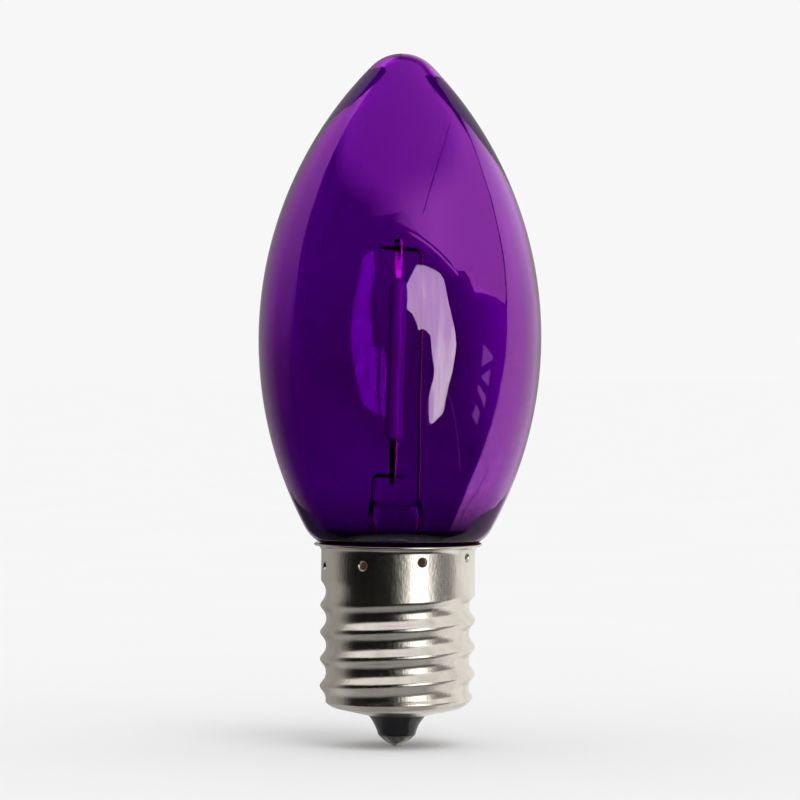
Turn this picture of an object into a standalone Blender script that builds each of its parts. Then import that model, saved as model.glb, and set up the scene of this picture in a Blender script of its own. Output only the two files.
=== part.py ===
"""LED filament bulb: a candle-shaped bulb of purple glass on a nickel-plated intermediate screw cap.

The origin is the tip of the centre contact, the bulb's axis is +Z and its front faces -Y. Lengths are in
metres and angles in degrees. Outlines are lists of (radius, height) pairs that run down the outer side.
"""

import math

import bmesh
import bpy
from mathutils import Matrix, Vector

# Clearances
FIT_GAP = 0.0001
SEAM_GAP = 0.00005
CUT_OVERRUN = 0.0005

# Centre contact
SOLDER_RADIUS = 0.00192
SOLDER_HEIGHT = 0.0011
SOLDER_FULLNESS = 0.56
EYELET_FLANGE_RADIUS = 0.0014
EYELET_TUBE_RADIUS = 0.00075
EYELET_WALL = 0.00015
EYELET_CLINCH_RADIUS = 0.0011

# Black glass insulator
INSULATOR_DROP = 0.00205
INSULATOR_RISE = 0.0024
INSULATOR_TIP_RADIUS = 0.00198
INSULATOR_WAIST = 0.00012

# Screw shell, a drawn cup with a rolled thread
SHELL_WALL = 0.00025
THREAD_RADIUS = 0.00813
THREAD_DEPTH = 0.00064
THREAD_PITCH = 0.002822
THREAD_CREST_SHARPNESS = 0.35
THREAD_RUNOUT = 0.0007
THREAD_RUNOUT_RISE = 0.00094
THREAD_CREST_RISE = 0.00727
BACK_GROOVE_SHARE = 0.75
COLLAR_STEP = 0.00007
COLLAR_HEIGHT = 0.00455
RIM_FLARE = 0.00063
SHELL_OPENING_RADIUS = 0.00305
SHELL_CORNER_RADIUS = 0.0022
SHELL_CORNER_RISE = 0.0029

# Pierced dimples that key the cement in the collar
DIMPLE_COUNT = 8
DIMPLE_FIRST_ANGLE = 18.0
DIMPLE_TILT = 3.9
DIMPLE_DROP = 0.0018
DIMPLE_RADIUS = 0.00047
DIMPLE_HOLE_RADIUS = 0.00022
DIMPLE_DEPTH = 0.00055

# Cement ring between the glass neck and the shell
CEMENT_RECESS = 0.0004
CEMENT_FOOT = 0.0004

# Driver in the cap
BOARD_CLEARANCE = 0.0006
BOARD_THICKNESS = 0.0008
DRIVER_HEADROOM = 0.003
RECTIFIER_SIZE = (0.0047, 0.0039, 0.0014)
RECTIFIER_PLACE_SHARES = (0.0, -0.545)
RECTIFIER_LEG_SHARES = (-0.32, 0.32)
REGULATOR_SIZE = (0.0042, 0.0024, 0.0014)
REGULATOR_PLACE_SHARES = (-0.19, 0.48)
REGULATOR_LEG_SHARES = (-0.33, 0.0, 0.33)
CHIP_RESISTOR_SIZE = (0.003, 0.0015, 0.00055)
CHIP_RESISTOR_PLACE_SHARES = (0.54, 0.4)
PACKAGE_LEG_WIDTH = 0.0005
PACKAGE_LEG_REACH = 0.0006
PACKAGE_EDGE = 0.0001
FUSE_RADIUS = 0.00085
FUSE_LENGTH = 0.0034
FUSE_OFFSET = 0.0009
FUSE_WAIST = 0.0001
FUSE_BULGE_SHARE = 0.85
FUSE_WAIST_SHARES = (0.6, 0.45)
FUSE_CLEARANCE = 0.0003
FUSE_LEAD_REACH = 0.0007
SHELL_SOLDER_RADIUS = 0.00045
SHELL_LEAD_INSET = 0.001
LEAD_STUB = 0.0004

# Stem
STEM_WALL = 0.0006
STEM_TUBE_RADIUS = 0.003
STEM_HEIGHT = 0.0129
STEM_FLARE_HEIGHT = 0.004
STEM_ROOF_DEPTH = 0.0051
STEM_ROOF_FLAT_SHARE = 0.7
PRESS_HEIGHT = 0.0038
PRESS_TAPER = 0.0032
PRESS_THICKNESS = 0.0021
PRESS_EDGE = 0.00055
PRESS_CORNER = 0.0005
PRESS_SQUARENESS = 0.62
PRESS_BEAD_RADIUS = 0.00048
EXHAUST_RADIUS = 0.0011
EXHAUST_WALL = 0.0003
EXHAUST_STUB = 0.001

# Leads
LEAD_RADIUS = 0.0002
SEAL_WIRE_RADIUS = 0.00018
OUTER_LEAD_RADIUS = 0.00015
LEAD_EMBED = 0.0012
OUTER_LEAD_SPREAD = 0.0018
LONG_LEAD_FOOT = 0.0021
LONG_LEAD_REACH = 0.0023
LONG_LEAD_TIP = 0.0021
LONG_LEAD_BEND = 0.0009
SHORT_LEAD_FOOT = 0.00275
SHORT_LEAD_REACH = 0.00262
SHORT_LEAD_TIP = 0.00065
SHORT_LEAD_BEND = 0.0005
LEAD_SAG = 0.0001

# Filament
FILAMENT_RISE = 0.0066
FILAMENT_OFFSET = 0.0004
FILAMENT_LEAN = 1.1
COAT_RADIUS = 0.00095
COAT_LENGTH = 0.0169
COAT_END_LENGTH = 0.0007
SUBSTRATE_WIDTH = 0.0008
SUBSTRATE_THICKNESS = 0.0004
SUBSTRATE_INSET = 0.0009
CHIP_COUNT = 14
CHIP_SIZE = (0.00045, 0.00015, 0.0007)
TAB_THICKNESS = 0.00015
TOP_TAB_WIDTH = 0.0009
TOP_TAB_LENGTH = 0.0042
TOP_WELD_INSET = 0.00105
BOTTOM_TAB_WIDTH = 0.0008
BOTTOM_TAB_TIP_WIDTH = 0.00064
BOTTOM_TAB_LENGTH = 0.0045
BOTTOM_TAB_TIP_LENGTH = 0.0025
BOTTOM_WELD_INSET = 0.00085

# Glass envelope
GLASS_WALL = 0.0007
BELLY_RADIUS = 0.0148
TOP_HEIGHT = 0.02983
TIP_RADIUS = 0.00445
SHOULDER_OVERHANG = 0.00111
SHOULDER_RISE = 0.00163
SHOULDER_ANGLE = 28.4
SHOULDER_ARC_RADIUS = 0.004
NECK_CLEARANCE = 0.0006
NECK_FILLET = 0.0012
NECK_DEPTH = 0.00865

# Mesh density
GLASS_SEGMENTS = 28
SHELL_SEGMENTS = 32
RINGS_PER_PITCH = 7
STEM_SEGMENTS = 20
SMALL_SEGMENTS = 16
WIRE_RESOLUTION = 2
DIMPLE_SEGMENTS = 12

# Heights worked up from the contact tip
insulator_bottom_z = SOLDER_HEIGHT + SEAM_GAP
shell_bottom_z = insulator_bottom_z + INSULATOR_DROP
insulator_top_z = shell_bottom_z + INSULATOR_RISE
eyelet_top_z = insulator_top_z + SEAM_GAP + EYELET_WALL
fuse_z = eyelet_top_z + FUSE_CLEARANCE + FUSE_RADIUS
board_bottom_z = fuse_z + FUSE_RADIUS + FUSE_CLEARANCE
board_top_z = board_bottom_z + BOARD_THICKNESS
flare_bottom_z = board_top_z + DRIVER_HEADROOM
flare_top_z = flare_bottom_z + STEM_WALL
neck_end_z = flare_top_z + FIT_GAP
rim_z = neck_end_z + NECK_DEPTH
press_top_z = flare_top_z + STEM_HEIGHT
stem_roof_z = press_top_z - STEM_ROOF_DEPTH
thread_top_z = rim_z - COLLAR_HEIGHT
runout_top_z = thread_top_z + THREAD_RUNOUT_RISE
thread_crest_z = shell_bottom_z + THREAD_CREST_RISE

# Radii that follow the thread
collar_radius = THREAD_RADIUS - COLLAR_STEP
collar_bore_radius = collar_radius - SHELL_WALL
rim_radius = collar_radius + RIM_FLARE
shell_bore_radius = THREAD_RADIUS - THREAD_DEPTH - SHELL_WALL
neck_radius = shell_bore_radius - NECK_CLEARANCE
board_radius = shell_bore_radius - BOARD_CLEARANCE
rim_flare_z = rim_z - SHELL_WALL - RIM_FLARE


def clear_scene():
    """Remove every object, so that the script can be run again."""
    for item in list(bpy.data.objects):
        bpy.data.objects.remove(item, do_unlink=True)


def new_collection(name):
    """Return a collection linked to the scene."""
    collection = bpy.data.collections.new(name)
    bpy.context.scene.collection.children.link(collection)
    return collection


clear_scene()
parts = new_collection("led_filament_bulb")
cutters = new_collection("cutters")


def new_material(name, colour, roughness, metallic=0.0, transmission=0.0):
    """Make a Principled material."""
    material = bpy.data.materials.new(name)
    material.use_nodes = True
    shader = material.node_tree.nodes["Principled BSDF"]
    shader.inputs["Base Color"].default_value = (*colour, 1.0)
    shader.inputs["Roughness"].default_value = roughness
    shader.inputs["Metallic"].default_value = metallic
    shader.inputs["Transmission Weight"].default_value = transmission
    return material


PURPLE_GLASS = new_material("purple_glass", (0.16, 0.01, 0.42), 0.03, transmission=0.9)
CLEAR_GLASS = new_material("clear_glass", (0.85, 0.9, 0.9), 0.05, transmission=0.9)
BLACK_GLASS = new_material("black_glass", (0.02, 0.02, 0.025), 0.12)
NICKEL = new_material("nickel_plate", (0.68, 0.65, 0.6), 0.22, metallic=1.0)
LEAD_METAL = new_material("lead_metal", (0.6, 0.58, 0.56), 0.35, metallic=1.0)
SEAL_METAL = new_material("seal_metal", (0.72, 0.25, 0.16), 0.4, metallic=1.0)
COPPER = new_material("copper", (0.78, 0.42, 0.28), 0.35, metallic=1.0)
TIN = new_material("solder_tin", (0.55, 0.54, 0.52), 0.3, metallic=1.0)
BRASS = new_material("eyelet_brass", (0.75, 0.58, 0.28), 0.35, metallic=1.0)
CEMENT = new_material("basing_cement", (0.24, 0.08, 0.05), 0.85)
COATING = new_material("phosphor_coat", (0.86, 0.83, 0.76), 0.5)
CERAMIC = new_material("substrate_ceramic", (0.88, 0.88, 0.85), 0.4)
CHIP = new_material("led_chip", (0.15, 0.35, 0.6), 0.2)
LAMINATE = new_material("board_laminate", (0.75, 0.76, 0.7), 0.5)
MOULDING = new_material("package_moulding", (0.03, 0.03, 0.03), 0.5)
RESISTOR_COAT = new_material("resistor_coat", (0.25, 0.42, 0.55), 0.5)


def add_object(name, data, material, collection=None):
    """Link a new object with one material to the parts, or to the collection given."""
    item = bpy.data.objects.new(name, data)
    item.data.materials.append(material)
    (collection or parts).objects.link(item)
    return item


def as_cutter(item):
    """Keep an object out of the renders, in the cutters' collection."""
    item.hide_render = True
    item.display_type = "WIRE"
    return item


def freeze(item):
    """Replace an object's data with its evaluated mesh."""
    graph = bpy.context.evaluated_depsgraph_get()
    graph.update()
    mesh = bpy.data.meshes.new_from_object(item.evaluated_get(graph))
    item.modifiers.clear()
    item.data = mesh
    return item


def arc(centre, radius, start, end, steps):
    """Points of an arc from the start angle to the end angle."""
    points = []
    for step in range(steps + 1):
        angle = math.radians(start + (end - start) * step / steps)
        points.append((centre[0] + radius * math.cos(angle), centre[1] + radius * math.sin(angle)))
    return points


def turned(name, outline, material, segments, closed=False, collection=None):
    """Turn an outline about the axis. A closed outline makes a ring."""
    mesh = bpy.data.meshes.new(name)
    edges = [(i, i + 1) for i in range(len(outline) - 1)]
    if closed:
        edges.append((len(outline) - 1, 0))
    mesh.from_pydata([(radius, 0.0, height) for radius, height in outline], edges, [])
    item = add_object(name, mesh, material, collection)
    screw = item.modifiers.new("turn", "SCREW")
    screw.angle = math.tau
    screw.steps = segments
    screw.render_steps = segments
    screw.use_merge_vertices = True
    screw.merge_threshold = SEAM_GAP / 100
    screw.use_smooth_shade = True
    return item


def thicken(item, wall):
    """Give an open surface a wall on its inner side."""
    solidify = item.modifiers.new("wall", "SOLIDIFY")
    solidify.thickness = wall
    solidify.offset = -1.0
    solidify.use_even_offset = True
    return item


def boolean(item, cutter, operation="DIFFERENCE"):
    """Cut an object with a cutter, or join the cutter to it."""
    modifier = item.modifiers.new(cutter.name, "BOOLEAN")
    modifier.operation = operation
    modifier.solver = "EXACT"
    modifier.object = cutter
    return item


def box(name, size, place, material, edge=None, collection=None):
    """A box centred on a place, with its edges rounded where an edge is given."""
    mesh = bpy.data.meshes.new(name)
    work = bmesh.new()
    bmesh.ops.create_cube(work, size=1.0, matrix=Matrix.Diagonal((*size, 1.0)))
    work.to_mesh(mesh)
    work.free()
    item = add_object(name, mesh, material, collection)
    item.location = place
    if edge:
        bevel = item.modifiers.new("edges", "BEVEL")
        bevel.width = edge
        bevel.segments = 1
    return item


def cone(name, radii, start, end, material, segments, collection=None):
    """A capped cone between two points, with a radius at each."""
    start = Vector(start)
    end = Vector(end)
    mesh = bpy.data.meshes.new(name)
    work = bmesh.new()
    bmesh.ops.create_cone(
        work,
        cap_ends=True,
        segments=segments,
        radius1=radii[0],
        radius2=radii[1],
        depth=(end - start).length,
    )
    work.to_mesh(mesh)
    work.free()
    item = add_object(name, mesh, material, collection)
    item.location = (start + end) / 2
    item.rotation_euler = (end - start).to_track_quat("Z", "Y").to_euler()
    return item


def ball(name, radius, place, material, collection=None):
    """A small sphere."""
    mesh = bpy.data.meshes.new(name)
    work = bmesh.new()
    bmesh.ops.create_uvsphere(work, u_segments=12, v_segments=8, radius=radius)
    work.to_mesh(mesh)
    work.free()
    item = add_object(name, mesh, material, collection)
    item.location = place
    return item


def rounded_route(corners, bend_radius, steps=5):
    """Points of a route through its corners, with each inner corner rounded."""
    corners = [Vector(corner) for corner in corners]
    points = [corners[0]]
    for before, corner, after in zip(corners, corners[1:], corners[2:]):
        back = (before - corner).normalized()
        ahead = (after - corner).normalized()
        half_angle = back.angle(ahead) / 2
        middle = corner + (back + ahead).normalized() * bend_radius / math.sin(half_angle)
        first = (corner + back * bend_radius / math.tan(half_angle) - middle).normalized()
        last = (corner + ahead * bend_radius / math.tan(half_angle) - middle).normalized()
        for step in range(steps + 1):
            points.append(middle + first.slerp(last, step / steps) * bend_radius)
    points.append(corners[-1])
    return points


def wire(name, points, radius, material, collection=None):
    """A round wire along its points."""
    curve = bpy.data.curves.new(name, "CURVE")
    curve.dimensions = "3D"
    curve.bevel_depth = radius
    curve.bevel_resolution = WIRE_RESOLUTION
    curve.use_fill_caps = True
    spline = curve.splines.new("POLY")
    spline.points.add(len(points) - 1)
    for spot, point in zip(spline.points, points):
        spot.co = (*point, 1.0)
        spot.radius = 1.0
    return add_object(name, curve, material, collection)


def wire_cutter(name, points, radius, material):
    """A wire as a closed mesh in the cutters' collection."""
    curve = wire(name, points, radius, material, cutters)
    graph = bpy.context.evaluated_depsgraph_get()
    graph.update()
    mesh = bpy.data.meshes.new_from_object(curve.evaluated_get(graph))
    place = curve.matrix_world.copy()
    bpy.data.objects.remove(curve, do_unlink=True)
    work = bmesh.new()
    work.from_mesh(mesh)
    bmesh.ops.remove_doubles(work, verts=work.verts, dist=SEAM_GAP / 100)
    work.to_mesh(mesh)
    work.free()
    item = bpy.data.objects.new(name, mesh)
    cutters.objects.link(item)
    item.matrix_world = place
    return as_cutter(item)


def smooth_step(value):
    """Ease from 0 to 1 as the value goes from 0 to 1."""
    value = min(1.0, max(0.0, value))
    return value * value * (3.0 - 2.0 * value)


def dish_angle():
    """Slope of the shell's dished bottom, tangent to its rounded corner."""
    across = THREAD_RADIUS - SHELL_CORNER_RADIUS - SHELL_OPENING_RADIUS
    span = math.hypot(across, SHELL_CORNER_RISE)
    return math.degrees(math.atan2(SHELL_CORNER_RISE, across) - math.asin(SHELL_CORNER_RADIUS / span))


def shell_corner_centre():
    """Centre of the rounded corner between the thread and the dished bottom."""
    return (THREAD_RADIUS - SHELL_CORNER_RADIUS, shell_bottom_z + SHELL_CORNER_RISE)


def shell_outline():
    """Outer side of the drawn cup, from the flared rim to the opening in its bottom."""
    outline = arc((rim_radius, rim_flare_z), RIM_FLARE, 90.0, 180.0, 4)
    centre = shell_corner_centre()
    rings = math.ceil((runout_top_z - centre[1]) * RINGS_PER_PITCH / THREAD_PITCH)
    for ring in range(rings):
        height = runout_top_z + (centre[1] - runout_top_z) * ring / rings
        radius = collar_radius if height > thread_top_z else THREAD_RADIUS
        outline.append((radius, height))
    outline += arc(centre, SHELL_CORNER_RADIUS, 0.0, dish_angle() - 90.0, 7)
    outline.append((SHELL_OPENING_RADIUS, shell_bottom_z))
    return outline


def roll_thread(mesh):
    """Press the right-hand helical groove into the cup, broad at its root and fading out at the collar."""
    for vertex in mesh.vertices:
        x, y, z = vertex.co
        if z > thread_top_z + THREAD_PITCH:
            continue
        radius = math.hypot(x, y)
        turns = (z - thread_crest_z) / THREAD_PITCH - math.atan2(y, x) / math.tau
        off_groove = turns - 0.5 - round(turns - 0.5)
        groove_z = z - off_groove * THREAD_PITCH
        phase = math.tau * off_groove
        phase -= THREAD_CREST_SHARPNESS * math.sin(phase)
        depth = THREAD_DEPTH * 0.5 * (1.0 + math.cos(phase))
        depth *= smooth_step((thread_top_z - groove_z) / THREAD_RUNOUT)
        rolled = min(radius, THREAD_RADIUS - depth)
        vertex.co.x = x * rolled / radius
        vertex.co.y = y * rolled / radius


def dimple_frame(index):
    """Place on the collar and outward direction of a dimple."""
    from_front = math.radians(DIMPLE_FIRST_ANGLE + index * 360.0 / DIMPLE_COUNT)
    outward = Vector((math.sin(from_front), -math.cos(from_front), 0.0))
    height = rim_z - DIMPLE_DROP + collar_radius * math.tan(math.radians(DIMPLE_TILT)) * outward.x
    return outward * collar_radius + Vector((0.0, 0.0, height)), outward


def dimple_cone(name, index, swell, start, end):
    """A cone along a dimple, swelled by a wall, between two depths under the collar."""
    place, outward = dimple_frame(index)
    taper = (DIMPLE_RADIUS - DIMPLE_HOLE_RADIUS) / DIMPLE_DEPTH
    radii = (DIMPLE_RADIUS + swell - start * taper, DIMPLE_RADIUS + swell - end * taper)
    item = cone(name, radii, place - outward * start, place - outward * end, NICKEL, DIMPLE_SEGMENTS, cutters)
    return as_cutter(item)


def build_screw_shell():
    """Drawn and thread-rolled cup with a flared rim and pierced dimples."""
    shell = turned("screw_shell", shell_outline(), NICKEL, SHELL_SEGMENTS)
    freeze(shell)
    roll_thread(shell.data)
    thicken(shell, SHELL_WALL)
    for index in range(DIMPLE_COUNT):
        boss = dimple_cone(f"dimple_boss_{index + 1}", index, SHELL_WALL / 2, SHELL_WALL / 2, DIMPLE_DEPTH)
        boolean(shell, boss, "UNION")
    for index in range(DIMPLE_COUNT):
        pit = dimple_cone(f"dimple_pit_{index + 1}", index, 0.0, -SHELL_WALL, DIMPLE_DEPTH + SHELL_WALL)
        boolean(shell, pit)
    return shell


def build_insulator():
    """Black glass that fills the shell's bottom and carries the eyelet."""
    centre = shell_corner_centre()
    slope = dish_angle()
    pass_radius = SHELL_OPENING_RADIUS - SEAM_GAP
    side_radius = shell_bore_radius - FIT_GAP
    corner_radius = SHELL_CORNER_RADIUS - SHELL_WALL - FIT_GAP
    corner_start = -math.degrees(math.acos((side_radius - centre[0]) / corner_radius))
    outline = [(side_radius, insulator_top_z)]
    outline += arc(centre, corner_radius, corner_start, slope - 90.0, 4)
    corner_end = outline[-1]
    drop = (corner_end[0] - pass_radius) * math.tan(math.radians(slope))
    outline.append((pass_radius, corner_end[1] - drop))
    steps = 5
    for step in range(steps + 1):
        share = step / steps
        waist = INSULATOR_WAIST * math.sin(math.pi * share)
        radius = pass_radius + (INSULATOR_TIP_RADIUS - pass_radius) * share - waist
        outline.append((radius, shell_bottom_z - INSULATOR_DROP * share))
    recess_radius = EYELET_FLANGE_RADIUS + SEAM_GAP
    recess_z = insulator_bottom_z + EYELET_WALL + SEAM_GAP
    bore_radius = EYELET_TUBE_RADIUS + SEAM_GAP
    outline.append((recess_radius, insulator_bottom_z))
    outline.append((recess_radius, recess_z))
    outline.append((bore_radius, recess_z))
    outline.append((bore_radius, insulator_top_z))
    return turned("base_insulator", outline, BLACK_GLASS, STEM_SEGMENTS, closed=True)


def build_contact():
    """Eyelet riveted through the insulator, and the solder dome under it."""
    bore_radius = EYELET_TUBE_RADIUS - EYELET_WALL
    flange_top_z = insulator_bottom_z + EYELET_WALL
    outline = [
        (EYELET_CLINCH_RADIUS, eyelet_top_z),
        (EYELET_CLINCH_RADIUS, eyelet_top_z - EYELET_WALL),
        (EYELET_TUBE_RADIUS, eyelet_top_z - EYELET_WALL),
        (EYELET_TUBE_RADIUS, flange_top_z),
        (EYELET_FLANGE_RADIUS, flange_top_z),
        (EYELET_FLANGE_RADIUS, insulator_bottom_z),
        (bore_radius, insulator_bottom_z),
        (bore_radius, eyelet_top_z),
    ]
    turned("contact_eyelet", outline, BRASS, SMALL_SEGMENTS, closed=True)
    dome = [(0.0, SOLDER_HEIGHT)]
    steps = 7
    for step in range(steps + 1):
        share = (1.0 - step / steps) ** (1.0 / SOLDER_FULLNESS)
        dome.append((SOLDER_RADIUS * share**SOLDER_FULLNESS, SOLDER_HEIGHT * share))
    turned("contact_solder", dome, TIN, STEM_SEGMENTS)


def build_board():
    """Round circuit board with a hole for each lead."""
    board = cone(
        "driver_board",
        (board_radius, board_radius),
        (0.0, 0.0, board_bottom_z),
        (0.0, 0.0, board_top_z),
        LAMINATE,
        STEM_SEGMENTS,
    )
    holes = {
        "outer_long": (OUTER_LEAD_SPREAD, 0.0),
        "outer_short": (-OUTER_LEAD_SPREAD, 0.0),
        "fuse": (fuse_hole_x(), 0.0),
        "shell": (0.0, shell_hole_y()),
    }
    for name, (x, y) in holes.items():
        radius = OUTER_LEAD_RADIUS + FIT_GAP
        start = (x, y, board_bottom_z - CUT_OVERRUN)
        end = (x, y, board_top_z + CUT_OVERRUN)
        hole = cone(f"board_hole_{name}", (radius, radius), start, end, LAMINATE, 8, cutters)
        boolean(board, as_cutter(hole))
    return board


def fuse_hole_x():
    """Place of the fusible resistor's lead in the board."""
    return -(FUSE_OFFSET + FUSE_LENGTH + FUSE_LEAD_REACH)


def shell_hole_y():
    """Place of the shell lead in the board, near its rear edge."""
    return board_radius - SHELL_LEAD_INSET


def build_package(name, size, shares, legs):
    """A moulded package on the board with short legs. Legs are (side, share of its length) pairs."""
    place = Vector((board_radius * shares[0], board_radius * shares[1], board_top_z + FIT_GAP + size[2] / 2))
    package = box(name, size, place, MOULDING, edge=PACKAGE_EDGE)
    leg_height = size[2] / 2
    for number, (side, share) in enumerate(legs, 1):
        offset = Vector((size[0] * share, side * size[1] / 2, -leg_height / 2))
        leg_size = (PACKAGE_LEG_WIDTH, 2 * PACKAGE_LEG_REACH, leg_height)
        leg = box(f"{name}_leg_{number}", leg_size, place + offset, LEAD_METAL, collection=cutters)
        boolean(package, as_cutter(leg), "UNION")
    return package


def build_driver():
    """Parts on the board and the fusible resistor under it."""
    rectifier_legs = [(side, share) for side in (-1, 1) for share in RECTIFIER_LEG_SHARES]
    build_package("bridge_rectifier", RECTIFIER_SIZE, RECTIFIER_PLACE_SHARES, rectifier_legs)
    regulator_legs = [(-1, share) for share in REGULATOR_LEG_SHARES]
    build_package("current_regulator", REGULATOR_SIZE, REGULATOR_PLACE_SHARES, regulator_legs)
    shares = CHIP_RESISTOR_PLACE_SHARES
    height = board_top_z + FIT_GAP + CHIP_RESISTOR_SIZE[2] / 2
    place = (board_radius * shares[0], board_radius * shares[1], height)
    box("sense_resistor", CHIP_RESISTOR_SIZE, place, CERAMIC, edge=PACKAGE_EDGE)
    build_fuse_resistor()


def build_fuse_resistor():
    """Coated resistor that lies along X under the board, with a lead at each end."""
    half = FUSE_LENGTH / 2
    waist_radius = FUSE_RADIUS - FUSE_WAIST
    upper_end = [
        (0.0, half),
        (waist_radius, half),
        (FUSE_RADIUS, half * FUSE_BULGE_SHARE),
        (FUSE_RADIUS, half * FUSE_WAIST_SHARES[0]),
        (waist_radius, half * FUSE_WAIST_SHARES[1]),
    ]
    outline = upper_end + [(radius, -height) for radius, height in reversed(upper_end)]
    fuse = turned("fuse_resistor", outline, RESISTOR_COAT, SMALL_SEGMENTS)
    fuse.rotation_euler = (0.0, math.radians(90.0), 0.0)
    fuse.location = (-FUSE_OFFSET - half, 0.0, fuse_z)
    near_end = -FUSE_OFFSET + SEAM_GAP
    far_end = -FUSE_OFFSET - FUSE_LENGTH - SEAM_GAP
    bend = FUSE_LEAD_REACH / 2
    contact = [(near_end, 0.0, fuse_z), (0.0, 0.0, fuse_z), (0.0, 0.0, insulator_bottom_z)]
    wire("contact_lead", rounded_route(contact, bend), OUTER_LEAD_RADIUS, COPPER)
    hole_x = fuse_hole_x()
    board = [(far_end, 0.0, fuse_z), (hole_x, 0.0, fuse_z), (hole_x, 0.0, board_top_z + LEAD_STUB)]
    wire("fuse_lead", rounded_route(board, bend), OUTER_LEAD_RADIUS, COPPER)


def build_shell_lead():
    """Lead from the board to the root of the thread at the back, with its solder joint."""
    turns = math.ceil((board_top_z + LEAD_STUB - thread_crest_z) / THREAD_PITCH - BACK_GROOVE_SHARE)
    joint_z = thread_crest_z + (turns + BACK_GROOVE_SHARE) * THREAD_PITCH
    joint_y = shell_bore_radius - FIT_GAP - SHELL_SOLDER_RADIUS
    joint = ball("shell_solder", SHELL_SOLDER_RADIUS, (0.0, joint_y, joint_z), TIN)
    start = Vector((0.0, shell_hole_y(), board_bottom_z - LEAD_STUB))
    knee = Vector((0.0, shell_hole_y(), joint_z - SHELL_SOLDER_RADIUS))
    end = Vector((0.0, joint_y, joint_z))
    route = rounded_route([start, knee, end], OUTER_LEAD_RADIUS)
    bore = wire_cutter("shell_solder_bore", route, OUTER_LEAD_RADIUS + SEAM_GAP, TIN)
    boolean(joint, bore)
    short_route = rounded_route([start, knee, end - (end - knee).normalized() * SEAM_GAP], OUTER_LEAD_RADIUS)
    wire("shell_lead", short_route, OUTER_LEAD_RADIUS, COPPER)


def neck_fillet():
    """Centres of the shoulder arc and the neck's fillet, and the angle at which they meet."""
    slope = math.radians(SHOULDER_ANGLE)
    shoulder = (
        rim_radius + SHOULDER_OVERHANG - SHOULDER_ARC_RADIUS * math.cos(slope),
        rim_z + SHOULDER_RISE + SHOULDER_ARC_RADIUS * math.sin(slope),
    )
    across = neck_radius + NECK_FILLET - shoulder[0]
    down = math.sqrt((SHOULDER_ARC_RADIUS + NECK_FILLET) ** 2 - across**2)
    fillet = (neck_radius + NECK_FILLET, shoulder[1] - down)
    return shoulder, fillet, -math.degrees(math.atan2(down, across))


def glass_outline():
    """Outer side of the envelope: tip, upper arc, lower arc, shoulder, fillet and neck."""
    overhang = BELLY_RADIUS - rim_radius - SHOULDER_OVERHANG
    lower_radius = overhang / (1.0 - math.cos(math.radians(SHOULDER_ANGLE)))
    belly_z = rim_z + SHOULDER_RISE + lower_radius * math.sin(math.radians(SHOULDER_ANGLE))
    square = BELLY_RADIUS**2 + TOP_HEIGHT**2 - 2 * TOP_HEIGHT * TIP_RADIUS
    upper_radius = square / (2 * (BELLY_RADIUS - TIP_RADIUS))
    rise = TOP_HEIGHT - TIP_RADIUS
    join = math.degrees(math.atan2(rise, upper_radius - BELLY_RADIUS))
    outline = arc((0.0, belly_z + rise), TIP_RADIUS, 90.0, join, 4)
    outline[0] = (0.0, outline[0][1])
    outline += arc((BELLY_RADIUS - upper_radius, belly_z), upper_radius, join, 0.0, 11)[1:]
    outline += arc((BELLY_RADIUS - lower_radius, belly_z), lower_radius, 0.0, -SHOULDER_ANGLE, 6)[1:]
    shoulder, fillet, meet = neck_fillet()
    outline += arc(shoulder, SHOULDER_ARC_RADIUS, -SHOULDER_ANGLE, meet, 4)[1:]
    outline += arc(fillet, NECK_FILLET, meet + 180.0, 180.0, 3)[1:]
    outline.append((neck_radius, neck_end_z))
    return outline


def build_envelope():
    """Blown glass bulb, open at its neck."""
    return thicken(turned("glass_envelope", glass_outline(), PURPLE_GLASS, GLASS_SEGMENTS), GLASS_WALL)


def build_cement():
    """Cement ring that keys into the dimples and holds the neck in the shell."""
    top_z = rim_z - CEMENT_RECESS
    bottom_z = neck_end_z + CEMENT_FOOT
    fillet = neck_fillet()[1]
    rim_arc = RIM_FLARE + SHELL_WALL + FIT_GAP
    rim_angle = 180.0 - math.degrees(math.asin(min(1.0, (top_z - rim_flare_z) / rim_arc)))
    neck_arc = NECK_FILLET - FIT_GAP
    neck_angle = 180.0 - math.degrees(math.asin(min(1.0, (top_z - fillet[1]) / neck_arc)))
    thread_bore = shell_bore_radius - FIT_GAP
    outline = arc((rim_radius, rim_flare_z), rim_arc, rim_angle, 180.0, 2)
    outline.append((collar_bore_radius - FIT_GAP, runout_top_z))
    outline.append((thread_bore, thread_top_z))
    outline.append((thread_bore, bottom_z))
    outline.append((neck_radius + FIT_GAP, bottom_z))
    outline += arc(fillet, neck_arc, 180.0, neck_angle, 3)
    cement = turned("base_cement", outline, CEMENT, SHELL_SEGMENTS, closed=True)
    for index in range(DIMPLE_COUNT):
        swell = SHELL_WALL / 2 + FIT_GAP
        key = dimple_cone(f"dimple_key_{index + 1}", index, swell, 0.0, DIMPLE_DEPTH + FIT_GAP)
        boolean(cement, key)
    return cement


def press_offset():
    """Sideways place of the press, midway between the two leads."""
    return (LONG_LEAD_FOOT - SHORT_LEAD_FOOT) / 2


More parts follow.
